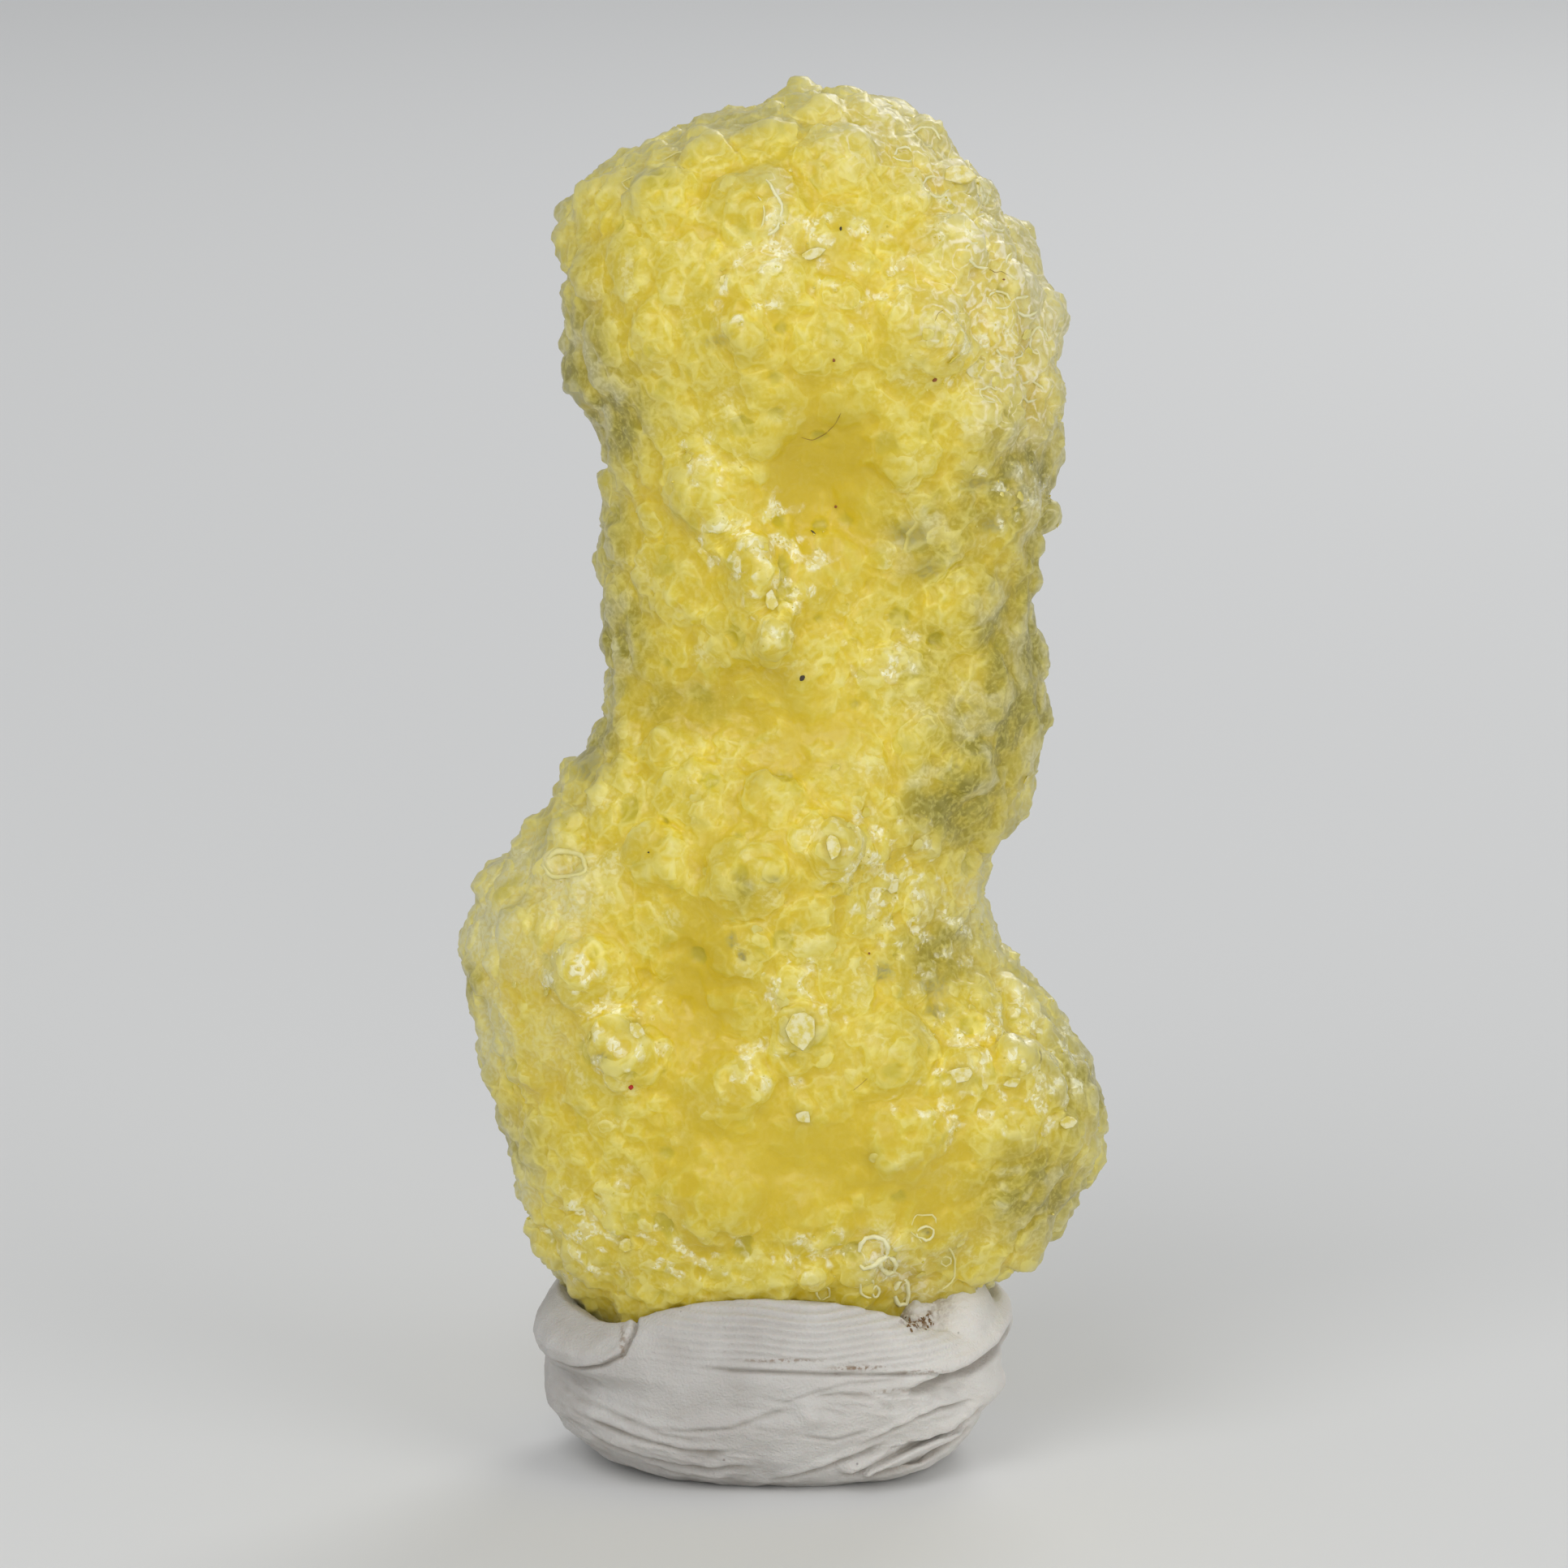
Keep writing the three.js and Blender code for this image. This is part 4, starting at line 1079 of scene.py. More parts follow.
def scattered_copies(name, shapes, carrier, chosen, chance, lean, sizes, sink):
    """Copies of a few crystals, joined to one piece, on the chosen points of the skin."""
    facing = values_of(carrier, "facing", 3)
    points = []
    faces = []
    for index in chosen:
        corners, sides = chance.choice(shapes)
        tilt = Vector([chance.gauss(0.0, lean) for _ in range(3)])
        normal = (Vector(facing[index]).normalized() + tilt).normalized()
        size = chance.uniform(*sizes)
        place = carrier.data.vertices[index].co - normal * sink * size
        turned = turned_about(normal, chance.uniform(0.0, 2.0 * math.pi))
        start = len(points)
        points.extend((corners * size) @ turned.T + np.array(place))
        faces.extend(tuple(start + corner for corner in side) for side in sides)
    mesh = bpy.data.meshes.new(name)
    mesh.from_pydata([tuple(point) for point in points], [], faces)
    piece = bpy.data.objects.new(name, mesh)
    bpy.context.collection.objects.link(piece)
    return piece


def sparkling_granules(skin):
    """Thousands of tiny clear crystals, crowded on the pearly spots."""
    chance = random.Random(31)
    chosen = chosen_points(chance, GRANULE_CHANCE * values_of(skin, "pearly"))
    shapes = [crystal_shape(GRANULE_ACROSS, GRANULE_FLATNESS, seed) for seed in GRANULE_SEEDS]
    return scattered_copies(
        "sparkling_granules", shapes, skin, chosen, chance, GRANULE_LEAN, GRANULE_SIZES, GRANULE_SINK
    )


def pearly_flakes(skin):
    """Thin flat cleavage flakes that lie on the skin and catch the light."""
    chance = random.Random(32)
    sparkling = values_of(skin, "sparkling") * (1.0 - values_of(skin, "bare"))
    chosen = chosen_points(chance, FLAKE_CHANCE_ELSEWHERE + FLAKE_CHANCE * sparkling.astype(float))
    shapes = [crystal_shape(FLAKE_ACROSS, FLAKE_FLATNESS, seed) for seed in FLAKE_SEEDS]
    return scattered_copies("pearly_flakes", shapes, skin, chosen, chance, FLAKE_LEAN, FLAKE_SIZES, 0.0)


# Single features of the front, placed along the camera's line of sight


def between(points, closed, steps):
    """Points with straight steps added between them."""
    finer = []
    for start, end in zip(points, points[1:] + points[:1]):
        for step in range(steps):
            share = step / steps
            finer.append((start[0] + share * (end[0] - start[0]), start[1] + share * (end[1] - start[1])))
    return finer if closed else finer[: len(finer) - steps + 1]


def tube_through(name, points, thickness, closed):
    """A thin uneven tube through some points, as a mesh with closed ends."""
    curve = bpy.data.curves.new(name, "CURVE")
    curve.dimensions = "3D"
    curve.bevel_depth = thickness / 2
    curve.bevel_resolution = 1
    curve.use_fill_caps = not closed
    line = curve.splines.new("POLY")
    line.points.add(len(points) - 1)
    for number, (spline_point, point) in enumerate(zip(line.points, points)):
        spline_point.co = (*point, 1.0)
        spline_point.radius = 1.0 + 0.5 * noise.noise(Vector(point) / TUBE_WOBBLE_SIZE)
        if not closed and number in (0, len(points) - 1):
            spline_point.radius = TUBE_END_RADIUS
    line.use_cyclic_u = closed
    piece = bpy.data.objects.new(name, curve)
    bpy.context.collection.objects.link(piece)
    select_only(piece)
    bpy.ops.object.convert(target="MESH")
    bpy.ops.object.shade_smooth()
    return bpy.context.active_object


def rim_along(surface, places, thickness, closed, whiteness):
    """One pale rim that follows the skin through some places, without its sudden steps."""
    hits = [front_hit(surface, x, height)[0] for x, height in places]
    points = [point for point in hits if point]
    usual = sorted(point.y for point in points)[len(points) // 2]
    points = [point for point in points if abs(point.y - usual) < RIM_REACH * MM]
    for _ in range(RIM_SMOOTHING):
        depths = [point.y for point in points]
        for number, point in enumerate(points):
            after = depths[(number + 1) % len(points)]
            point.y = 0.5 * depths[number] + 0.25 * (depths[number - 1] + after)
    piece = tube_through("rim", points, thickness * MM, closed)
    keep_values(piece, "whiteness", [whiteness] * len(piece.data.vertices))
    return piece


def oval_rim(surface, number, rim):
    """One pale rim on an uneven oval, or on a part of one."""
    x, height, half_width, half_height, thickness, start, sweep, whiteness = rim
    closed = sweep >= 360
    steps = max(12, int(sweep * max(half_width, half_height) / 20))
    places = []
    for step in range(steps if closed else steps + 1):
        angle = math.radians(start + sweep * step / steps)
        around = Vector((math.cos(angle), math.sin(angle), 1.7 * number))
        reach = 1.0 + 0.35 * noise.noise(1.4 * around)
        places.append((x + half_width * reach * around.x, height + half_height * reach * around.y))
    return rim_along(surface, places, thickness, closed, whiteness)


def pale_rims(surface):
    """The thin white rims of broken-open shells."""
    rims = [oval_rim(surface, number, rim) for number, rim in enumerate(OVAL_RIMS)]
    for closed, *points in LOOPS:
        places = between(points, closed, LOOP_STEPS)
        rims.append(rim_along(surface, places, LOOP_THICKNESS, closed, 1.0))
    return joined("pale_rims", rims)


def stand_on(piece, place, normal, turn):
    """Takes a piece modelled at the origin to a place, with its z along the normal, and turns it."""
    upright = normal.to_track_quat("Z", "Y").to_matrix().to_4x4()
    turned = upright @ Matrix.Rotation(math.radians(turn), 4, "Z")
    piece.data.transform(Matrix.Translation(place) @ turned)


def flat_face(surface, number, face):
    """One thin plate with an uneven outline and softened edges, flat on the skin."""
    x, height, half_width, half_height, turn = face
    chance = random.Random(80 + number)
    hit, normal = front_hit(surface, x, height)
    cylinder = bpy.ops.mesh.primitive_cylinder_add
    plate = new_primitive(cylinder, vertices=FACE_CORNERS, radius=1.0, depth=1.0)
    stretch = [chance.uniform(0.7, 1.2) for _ in range(FACE_CORNERS)]
    for vertex in plate.data.vertices:
        share = stretch[vertex.index // 2]
        vertex.co = (
            vertex.co.x * half_width * MM * share,
            vertex.co.y * half_height * MM * share,
            vertex.co.z * FACE_THICKNESS * MM,
        )
    apply_modifier(plate, "soft_edges", "BEVEL", width=FACE_BEVEL, segments=2, limit_method="ANGLE")
    toward_camera = -sight_line(x, height)[1]
    facing = (normal + 1.5 * toward_camera).normalized()
    lift = FACE_LIFT * half_width * half_height * MM
    stand_on(plate, hit + facing * lift, facing, turn)
    return plate


def cleavage_faces(surface):
    plates = [flat_face(surface, number, face) for number, face in enumerate(FLAT_FACES)]
    return joined("cleavage_faces", plates)


def dirt_grain(surface, grain, lift):
    """One small grain or fleck with flat sides, on a surface."""
    x, height, width, tall, turn = grain
    hit, normal = front_hit(surface, x, height)
    piece = new_primitive(bpy.ops.mesh.primitive_ico_sphere_add, subdivisions=1, radius=1.0)
    chance = random.Random(int(100 * height))
    for vertex in piece.data.vertices:
        vertex.co *= chance.uniform(0.75, 1.2)
        vertex.co = (vertex.co.x * width * MM / 2, vertex.co.y * tall * MM / 2, vertex.co.z * tall * MM / 3)
    stand_on(piece, hit + normal * lift, normal, turn)
    return piece


def soil_grains(wad_surface):
    """Loose brown grains where dirt has gathered in the hollow."""
    chance = random.Random(51)
    grains = []
    while len(grains) < SOIL_GRAIN_COUNT:
        x = chance.gauss(SOIL_MIDDLE[0], SOIL_SPREAD[0])
        height = chance.gauss(SOIL_MIDDLE[1], SOIL_SPREAD[1])
        width = chance.uniform(*SOIL_GRAIN_WIDTHS)
        tall = chance.uniform(*SOIL_GRAIN_HEIGHTS)
        grain = (x, height, width, tall, chance.uniform(0, 180))
        grains.append(dirt_grain(wad_surface, grain, 0.0))
    return joined("soil_grains", grains)


def fibre(surface, thickness, points):
    """One loose fibre that lies along a surface."""
    line = []
    for x, height in between(points, False, FIBRE_STEPS)[:-1]:
        hit, normal = front_hit(surface, x, height)
        line.append(hit + normal * thickness * MM)
    smoother = [line[0]]
    for before, point, after in zip(line, line[1:], line[2:]):
        smoother.append((before + 2.0 * point + after) / 4.0)
    smoother.append(line[-1])
    return tube_through("fibre", smoother, thickness * MM, False)


# The putty


def crease_depths(x, height):
    """How far the creases press each place in, and how far their upper lips raise it, in millimetres."""
    total = np.zeros(len(x), np.float32)
    for width, depth, lip, *points in PUTTY_CREASES:
        nearest = np.full(len(x), 9.0, np.float32)
        above = np.zeros(len(x), np.float32)
        end_share = np.zeros(len(x), np.float32)
        for number, ((start_x, start_height), (end_x, end_height)) in enumerate(zip(points, points[1:])):
            run = end_x - start_x
            climb = end_height - start_height
            share = ((x - start_x) * run + (height - start_height) * climb) / math.hypot(run, climb) ** 2
            share = np.clip(share, 0.0, 1.0)
            step_x = x - start_x - share * run
            step_up = height - start_height - share * climb
            distance = np.hypot(step_x, step_up)
            closer = distance < nearest
            nearest = np.where(closer, distance, nearest)
            side = np.sign(run * step_up - climb * step_x) * np.sign(run)
            above = np.where(closer, side, above)
            end_share = np.where(closer, (number + share) / (len(points) - 1), end_share)
        fade = np.clip(np.sin(math.pi * end_share) * 2.0, 0.0, 1.0)
        groove = np.exp(-((nearest / width) ** 2))
        raised = np.exp(-(((nearest - 2.2 * width) / (1.6 * width)) ** 2)) * (above > 0.0)
        total += fade * depth * (lip * raised - groove)
    return total


def print_ridges(x, height):
    """The parallel ridges that a finger left on the front, in millimetres."""
    wavy = 0.6 * np.sin(0.35 * x + 0.7) + 0.25 * np.sin(0.9 * x)
    ridges = np.sin(2.0 * math.pi * (height + 0.35 * wavy) / PRINT_PITCH)
    return PRINT_DEPTH * ridges * patch_share(x, height, PRINT_PATCHES)


def wrinkle_noise(places):
    """Noise drawn out sideways, like the slack wrinkles of pressed putty."""
    wrinkles = []
    for across, back, up in places:
        slanted = (up + 0.2 * across) / WRINKLE_PITCH
        place = Vector((across / WRINKLE_LENGTH, back / WRINKLE_LENGTH, slanted))
        wrinkles.append(noise.fractal(place, 1.0, 2.0, 3))
    return np.array(wrinkles)


def lump_noise(places):
    """Even, rounded noise all over the putty."""
    return np.array([noise.fractal(Vector(place) / LUMP_SIZE, 1.0, 2.0, 4) for place in places])


def press_putty(piece):
    """Presses the creases, wrinkles, bumps and finger ridges of the front into the putty."""
    places = values_of(piece, "position", 3)
    normals = np.empty(places.size, np.float32)
    piece.data.vertices.foreach_get("normal", normals)
    x, y, height = places.T / MM
    front = np.clip(-y / PUTTY_FRONT_FADE, 0.0, 1.0)
    low = np.clip((4.5 - height) / 3.0, 0.0, 1.0)
    rise = crease_depths(x, height) * front
    for *oval, lift in PUTTY_BUMPS:
        rise += lift * np.exp(-oval_distance(x, height, *oval)) * front
    rise += print_ridges(x, height) * front
    wrinkled = WRINKLE_DEPTH * patch_share(x, height, WRINKLED_PATCHES) * front
    rise += wrinkle_noise(places / MM) * (WRINKLE_DEPTH_ELSEWHERE + wrinkled)
    rise += (LUMP_HEIGHT + LUMP_HEIGHT_LOW * low) * lump_noise(places / MM)
    places += (rise * MM)[:, None] * normals.reshape(-1, 3)
    places[:, 2] = np.maximum(places[:, 2], 0.0)
    piece.data.vertices.foreach_set("co", places.ravel())
    # Painted shade: how far each place is pressed in, which the material darkens
    keep_values(piece, "crease_shade", np.clip(-rise * 4.0, 0.0, 1.0))
    piece.data.update()


def putty_lump(place, radii):
    """One soft lump of putty that the remesh melts into the wad."""
    shape = {"segments": 48, "ring_count": 24, "radius": 1.0}
    sphere = bpy.ops.mesh.primitive_uv_sphere_add
    lump = new_primitive(sphere, location=mm(*place), scale=mm(*radii), **shape)
    bpy.ops.object.transform_apply(location=True, rotation=True, scale=True)
    return lump


def putty_wad():
    lumps = [putty_lump(place, radii) for place, radii in PUTTY_LUMPS]
    piece = even_copy("putty_base", "putty_wad", PUTTY_VOXEL, PUTTY_SMOOTHING, lumps)
    press_putty(piece)
    paint_patches(piece, "soiled", SOILED_PATCHES)
    thin_to(piece, PUTTY_TRIANGLES)
    return smooth_shaded(piece)


# Building materials


def new_material(name, roughness, **settings):
    """A material with its Principled shader, whose even values are set on its own sockets."""
    material = bpy.data.materials.new(name)
    material.use_nodes = True
    shader = material.node_tree.nodes["Principled BSDF"]
    shader.inputs["Roughness"].default_value = roughness
    for key, value in settings.items():
        shader.inputs[key.replace("_", " ")].default_value = value
    return material, material.node_tree, shader


def attribute_of(tree, name, output="Fac"):
    return add_node(tree, "ShaderNodeAttribute", attribute_name=name).outputs[output]


def object_place(tree):
    return add_node(tree, "ShaderNodeTexCoord").outputs["Object"]


def mixed(tree, factor, first, second):
    """The first colour where the factor is 0, the second where it is 1."""
    made = add_node(tree, "ShaderNodeMix", {0: factor, 6: first, 7: second}, data_type="RGBA")
    return made.outputs[2]


def set_colour(tree, shader, base):
    tree.links.new(base, shader.inputs["Base Color"])


def add_bump(tree, shader, height, distance, strength, **inputs):
    """Lets a fine pattern tilt the shading on top of the mesh's own shape."""
    inputs = {"Height": height, "Distance": distance, "Strength": strength, **inputs}
    bump = add_node(tree, "ShaderNodeBump", inputs)
    tree.links.new(bump.outputs["Normal"], shader.inputs["Normal"])


def plain_material(name, base_colour, roughness):
    material, _, shader = new_material(name, roughness)
    shader.inputs["Base Color"].default_value = base_colour
    return material


# The brucite's material


def brucite_tone_and_shade(tree):
    """How light the brucite is: low in the golden hollows, high on crests and on the rings. Where it
    follows the relief, it is painted shade in the hollows and painted light on the tops.
    """
    return added(
        tree,
        (attribute_of(tree, "tone"), 1.0),
        (attribute_of(tree, "relief"), 0.4),
        (attribute_of(tree, "golden"), -0.75),
        (attribute_of(tree, "ring_tone"), 1.1),
    )


def tone_colour(tree, tone):
    """The plain colour of each tone, from deep gold over lemon to cream."""
    base = mixed(tree, ramp_between(tree, tone, -0.9, 0.1), DEEP_GOLD, LEMON)
    base = mixed(tree, ramp_between(tree, tone, -0.1, 0.9), base, PALE_LEMON)
    return mixed(tree, ramp_between(tree, tone, 0.6, 1.6), base, CREAM)


def lively_share(tree, tone):
    """How much of the fine drawing shows: less in the hollows and on the clear patches."""
    lively = ramp_between(tree, attribute_of(tree, "quiet"), 0.15, 1.0, 1.0, 0.3)
    return times(tree, lively, ramp_between(tree, tone, -0.8, 0.4, 0.3, 1.0))


def shell_share(tree):
    """Where a point lies on its shell, from 0 at one shell's start to 1 at the next."""
    return maths(tree, "FRACT", times(tree, attribute_of(tree, "shell_level"), SHELLS_PER_LEVEL))


def drawn_lines(tree, in_patch, lively):
    """The pale lines along the edges of the shells and the walls of the cells."""
    shell = shell_share(tree)
    edge = times(tree, ramp_between(tree, shell, 0.0, 0.06), ramp_between(tree, shell, 0.38, 0.12))
    edge = times(tree, edge, ramp_between(tree, in_patch, 0.0, 1.0, 0.35, 0.8))
    grown_at = attribute_of(tree, "grown_at", "Vector")
    cell = voronoi_at(tree, grown_at, CELL_SIZE, "DISTANCE_TO_EDGE")["Distance"]
    wall = ramp_between(tree, cell, 0.13, 0.03, 0.0, 0.5)
    wall = times(tree, wall, maths(tree, "SUBTRACT", 1.0, in_patch))
    return times(tree, maths(tree, "MAXIMUM", wall, edge), lively)


def clear_share(tree, film, outer):
    """How clear the brucite looks, with clouds in it: on the clear patches and at its outer edges. Its
    olive is partly the brucite's own hue and partly painted shade, the dark seen through its clear parts.
    """
    mottle = attribute_of(tree, "mottle")
    cloudy = added(tree, (mottle, 1.0), (attribute_of(tree, "patchy"), -0.6), (film, -0.4))
    cloudy = ramp_between(tree, cloudy, -0.38, -0.04, 0.4, 1.0)
    edge_see_through_shade = times(tree, ramp_between(tree, mottle, -0.1, 0.16, 0.0, 0.5), outer)
    clear = maths(tree, "MAXIMUM", attribute_of(tree, "clear"), edge_see_through_shade)
    return times(tree, clear, cloudy)


def chalk_share(tree, film, in_patch):
    """Mealy white threads that wind over the chalky patches."""
    thread = maths(tree, "FRACT", times(tree, attribute_of(tree, "worm"), WORM_LINES))
    thread = maths(tree, "ABSOLUTE", maths(tree, "SUBTRACT", thread, 0.5))
    thick = ramp_between(tree, in_patch, 0.0, 1.0, 0.03, 0.12)
    chalk = ramp_between(tree, maths(tree, "SUBTRACT", thread, thick), 0.14, -0.04, 0.2, 1.0)
    chalk = times(tree, chalk, ramp_between(tree, film, 0.4, 0.58, 0.55, 1.0))
    return times(tree, attribute_of(tree, "chalky"), chalk)


def brucite_layers(tree, film, in_patch, lively, drawn, pearly, glint):
    """The layers over the plain colour, from the lowest up: how much of each shows, and its colour."""
    patchy = attribute_of(tree, "patchy")
    frosted = ramp_between(tree, film, 0.4, 0.6, 0.5, 1.0)
    # Painted shade: deep gold at the foot of each shell's step
    shell_foot_shade = ramp_between(tree, shell_share(tree), 0.7, 0.97, 0.0, 0.25)
    frost = ramp_between(tree, film, 0.42, 0.68, 0.0, 0.5)
    # Painted sheen: the faces turned sideways and the outer sides of the mass are made paler, broken up by
    # the frosty film
    sideways_sheen = maths(tree, "ABSOLUTE", part_of(tree, attribute_of(tree, "facing", "Vector"), 1))
    sideways_sheen = ramp_between(tree, sideways_sheen, 0.7, 0.2, 0.0, 0.5)
    outer = ramp_between(tree, attribute_of(tree, "broadside"), 0.65, 0.05, 0.0, 0.9)
    clear = clear_share(tree, film, outer)
    mealy = ramp_between(tree, film, 0.5, 0.62, 0.0, 0.35)
    banded = added(tree, (attribute_of(tree, "relief"), 0.5), (patchy, 3.5))
    banded = times(tree, ramp_between(tree, banded, 0.0, 0.45, 0.0, 0.9), clear)
    depths = ramp_between(tree, attribute_of(tree, "mottle"), -0.06, -0.22, 0.0, 0.6)
    crusted = ramp_between(tree, patchy, 0.04, 0.2, 0.0, 0.5)
    crusted = times(tree, crusted, ramp_between(tree, film, 0.44, 0.6, 0.3, 1.0))
    bright = ramp_between(tree, part_of(tree, glint["Color"], 0), 0.3, 0.9, 0.25, 0.85)
    return (
        (times(tree, shell_foot_shade, lively), DEEP_GOLD),
        (times(tree, frost, lively), CREAM),
        (times(tree, sideways_sheen, frosted), CREAM),
        (times(tree, outer, frosted), EDGE_SHEEN_HAZE),
        # Painted shade darkens the pits
        (times(tree, attribute_of(tree, "pit"), 0.75), PIT_OLIVE),
        (times(tree, attribute_of(tree, "milky"), frosted), MILKY),
        # Partly painted shade: the dark seen through the clear parts
        (clear, OLIVE_HUE_AND_SHADE),
        (times(tree, mealy, clear), CREAM),
        (times(tree, banded, frosted), MILKY),
        (times(tree, attribute_of(tree, "spotted"), frosted), SPOT_GREY),
        (drawn, CREAM),
        (times(tree, depths, lively), PIT_OLIVE),
        (times(tree, crusted, lively), CRUST),
        (chalk_share(tree, film, in_patch), CHALK),
        (times(tree, pearly, bright), PEARL),
    )


def softened_normal(tree):
    """The surface's normal, turned a little toward the one that the skin had before it grew."""
    grown = add_node(tree, "ShaderNodeNewGeometry").outputs["Normal"]
    before = scaled(tree, attribute_of(tree, "facing", "Vector"), SOFTENED)
    return unit(tree, vector_maths(tree, "ADD", scaled(tree, grown, 1.0 - SOFTENED), before))


def brucite_material():
    material, tree, shader = new_material(
        "waxy_brucite",
        0.4,
        Subsurface_Weight=0.8,
        Subsurface_Radius=(1.0, 0.95, 0.35),
        Subsurface_Scale=2.2 * MM,
        Coat_Weight=0.28,
        Coat_Roughness=0.18,
        Sheen_Weight=0.12,
        Sheen_Roughness=0.4,
        Sheen_Tint=SHEEN_TINT,
    )
    shader.subsurface_method = "BURLEY"
    grown_at = attribute_of(tree, "grown_at", "Vector")
    tone = brucite_tone_and_shade(tree)
    film = noise_at(tree, grown_at, FILM_SIZE, 4.0)["Fac"]
    glint = voronoi_at(tree, grown_at, GLINT_SIZE, "F1")
    pearly = ramp_between(tree, attribute_of(tree, "pearly"), 0.2, 0.7)
    in_patch = ramp_between(tree, attribute_of(tree, "patchy"), -0.1, 0.1)
    lively = lively_share(tree, tone)
    drawn = drawn_lines(tree, in_patch, lively)

    base = tone_colour(tree, tone)
    for share, layer_colour in brucite_layers(tree, film, in_patch, lively, drawn, pearly, glint):
        base = mixed(tree, share, base, layer_colour)
    set_colour(tree, shader, base)
    roughness = maths(tree, "SUBTRACT", 0.42, times(tree, pearly, 0.26))
    tree.links.new(roughness, shader.inputs["Roughness"])
    facets = times(tree, maths(tree, "SUBTRACT", 1.0, glint["Distance"]), pearly)
    grain = added(tree, (film, 0.5), (facets, 1.0), (drawn, 0.8))
    add_bump(tree, shader, grain, 0.1 * MM, 0.5, Normal=softened_normal(tree))
    return material


# The other materials


def crystal_material(name, roughness):
    settings = {"Subsurface_Weight": 0.0, "Coat_Weight": 0.5, "Coat_Roughness": 0.08}
    material, tree, shader = new_material(name, roughness, **settings)
    patchy = noise_at(tree, object_place(tree), 0.9 * MM, 2.0)["Fac"]
    set_colour(tree, shader, mixed(tree, ramp_between(tree, patchy, 0.35, 0.65), PALE_LEMON, CREAM))
    return material


def rim_material():
    material, tree, shader = new_material("chalky_rims", 0.55, Coat_Weight=0.1)
    patchy = noise_at(tree, object_place(tree), 0.5 * MM, 3.0)["Fac"]
    patchy = ramp_between(tree, patchy, 0.3, 0.6, 0.5, 1.0)
    whiteness = times(tree, attribute_of(tree, "whiteness"), patchy)
    set_colour(tree, shader, mixed(tree, whiteness, CREAM, RIM_WHITE))
    return material


def cleavage_material():
    material, tree, shader = new_material("cleavage_faces", 0.22, Coat_Weight=0.3, Coat_Roughness=0.1)
    cloud = noise_at(tree, object_place(tree), 0.5 * MM, 4.0)["Fac"]
    shine = ramp_between(tree, cloud, 0.38, 0.6, 0.05, 0.65)
    set_colour(tree, shader, mixed(tree, shine, PALE_LEMON, PEARL))
    add_bump(tree, shader, cloud, 0.12 * MM, 0.7)
    return material


def putty_material():
    settings = {"Subsurface_Weight": 0.06, "Subsurface_Scale": 0.8 * MM}
    material, tree, shader = new_material("pressed_putty", 0.78, **settings)
    place = object_place(tree)
    blotch = noise_at(tree, place, 3.5 * MM, 3.0)["Fac"]
    base = mixed(tree, ramp_between(tree, blotch, 0.3, 0.7), PUTTY_GREY, PUTTY_WHITE)
    # Painted light: the putty grows lighter toward its right side, where the light falls
    painted_light_toward_right = ramp_between(tree, part_of(tree, place, 0), -4.0 * MM, 14.0 * MM)
    base = mixed(tree, painted_light_toward_right, base, PUTTY_LIT)
    # Painted shade darkens the creases and other places pressed into the putty
    base = mixed(tree, times(tree, attribute_of(tree, "crease_shade"), 0.7), base, PUTTY_CREASE_SHADE)
    crumbs = ramp_between(tree, noise_at(tree, place, 0.3 * MM, 4.0)["Fac"], 0.46, 0.56, 0.15, 1.0)
    base = mixed(tree, times(tree, attribute_of(tree, "soiled"), crumbs), base, SOIL_BROWN)
    speck = voronoi_at(tree, place, 0.9 * MM, "F1")
    spot = ramp_between(tree, speck["Distance"], 0.12, 0.05, 0.0, 0.55)
    chosen = ramp_between(tree, part_of(tree, speck["Color"], 0), 0.88, 0.9)
    base = mixed(tree, times(tree, chosen, spot), base, SPECK_BROWN)
    set_colour(tree, shader, base)
    add_bump(tree, shader, noise_at(tree, place, 0.16 * MM, 4.0)["Fac"], 0.13 * MM, 0.8)
    return material


# Floor, light and camera


def pale_floor():
    floor = new_primitive(bpy.ops.mesh.primitive_plane_add, size=FLOOR_SIZE, location=(0.0, 0.0, 0.0))
    floor.name = "pale_floor"
    floor.data.materials.append(plain_material("pale_floor", FLOOR_COLOUR, 0.9))


def aimed(place, target):
    """The turn that points a light or a camera from its place at a target."""
    return (Vector(target) - Vector(place)).to_track_quat("-Z", "Y").to_euler()


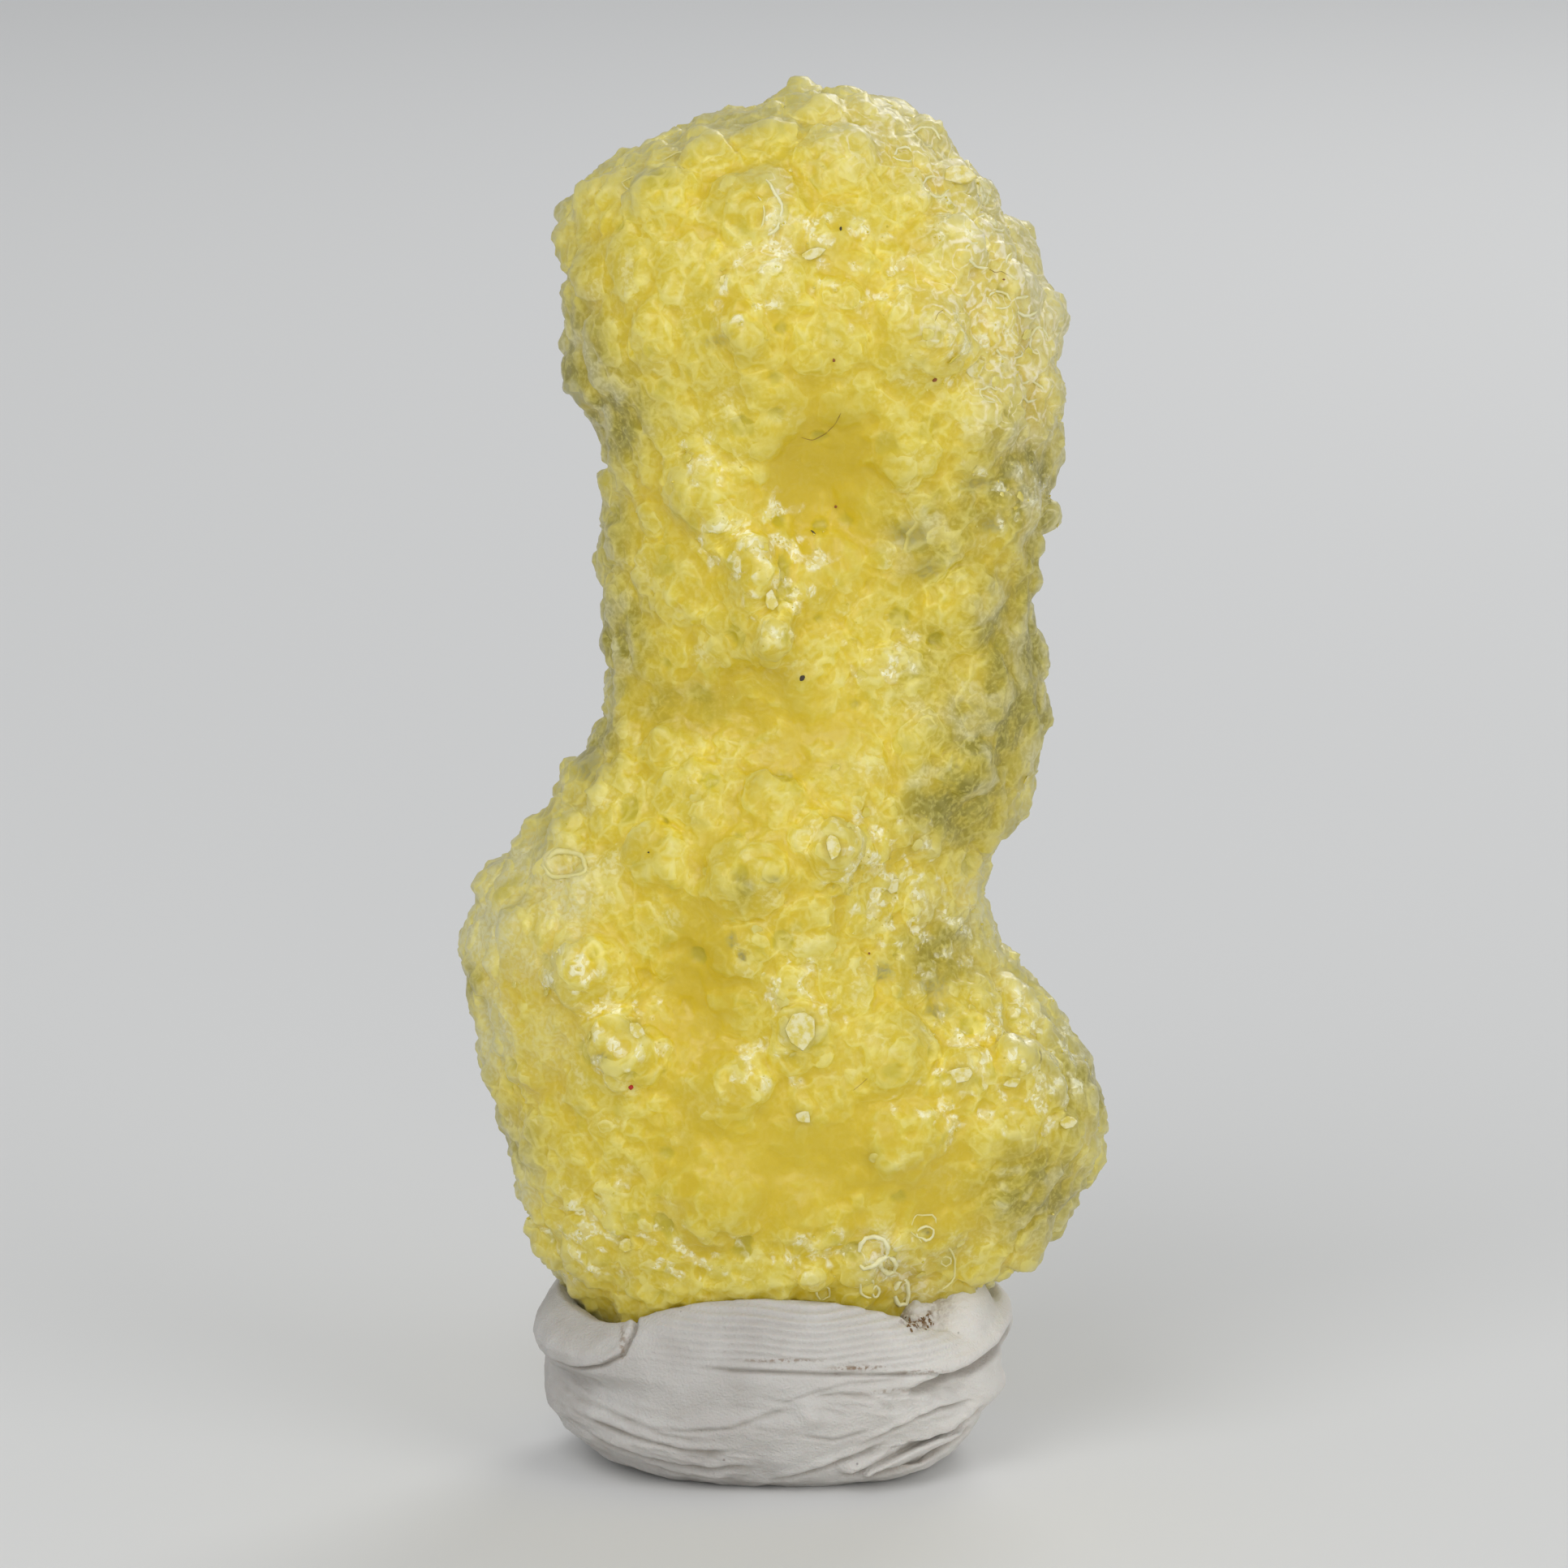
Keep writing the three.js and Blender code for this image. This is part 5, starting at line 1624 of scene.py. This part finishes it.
def studio_light():
    for name, place, size, power in LIGHTS:
        bpy.ops.object.light_add(type="AREA", location=place)
        light = bpy.context.active_object
        light.name = name
        light.data.shape = "DISK"
        light.data.size = size
        light.data.energy = power
        light.rotation_euler = aimed(place, LIGHT_TARGET)
    world = bpy.data.worlds.new("soft_room")
    world.use_nodes = True
    background = world.node_tree.nodes["Background"]
    background.inputs["Color"].default_value = ROOM_COLOUR
    background.inputs["Strength"].default_value = ROOM_STRENGTH
    bpy.context.scene.world = world
    bpy.context.scene.view_settings.view_transform = "Standard"


def camera_at_the_view():
    target = Vector(CAMERA_TARGET)
    rise = math.radians(CAMERA_ELEVATION_DEG)
    place = target + CAMERA_DISTANCE * Vector((0.0, -math.cos(rise), math.sin(rise)))
    bpy.ops.object.camera_add(location=place)
    camera = bpy.context.active_object
    camera.name = "view"
    camera.rotation_euler = aimed(place, target)
    camera.data.sensor_width = SENSOR_WIDTH
    camera.data.lens = SENSOR_WIDTH * CAMERA_DISTANCE / FRAME_WIDTH_AT_TARGET
    camera.data.clip_start = CLIP_START
    bpy.context.scene.camera = camera


# The brucite and what sits on it

skin = brucite_skin()
skin.data.materials.clear()
skin.data.materials.append(brucite_material())
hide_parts("brucite_mass")
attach(skin, "root")

surface = surface_of(skin)
brucite_pieces = (
    (sparkling_granules(skin), crystal_material("clear_granules", 0.16)),
    (pearly_flakes(skin), crystal_material("pearly_cleavage", 0.12)),
    (pale_rims(surface), rim_material()),
    (cleavage_faces(surface), cleavage_material()),
)
for piece, material in brucite_pieces:
    piece.data.materials.append(material)
    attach(piece, "root")

for name, grains, dirt_colour in DIRT:
    piece = joined(name, [dirt_grain(surface, grain, DIRT_LIFT) for grain in grains])
    piece.data.materials.append(plain_material(name, dirt_colour, 0.6))
    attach(piece, "root")
fibres = joined("loose_fibres", [fibre(surface, thickness, points) for thickness, *points in FIBRES])
fibres.data.materials.append(plain_material("loose_fibres", FIBRE_BROWN, 0.6))
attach(fibres, "root")

# The putty and the dirt in its hollow

wad = putty_wad()
wad.data.materials.clear()
wad.data.materials.append(putty_material())
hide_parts("putty_base")
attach(wad, "root")

soil = soil_grains(surface_of(wad))
soil.data.materials.append(plain_material("soil", SOIL_BROWN, 0.8))
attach(soil, "root")

pale_floor()
studio_light()
camera_at_the_view()
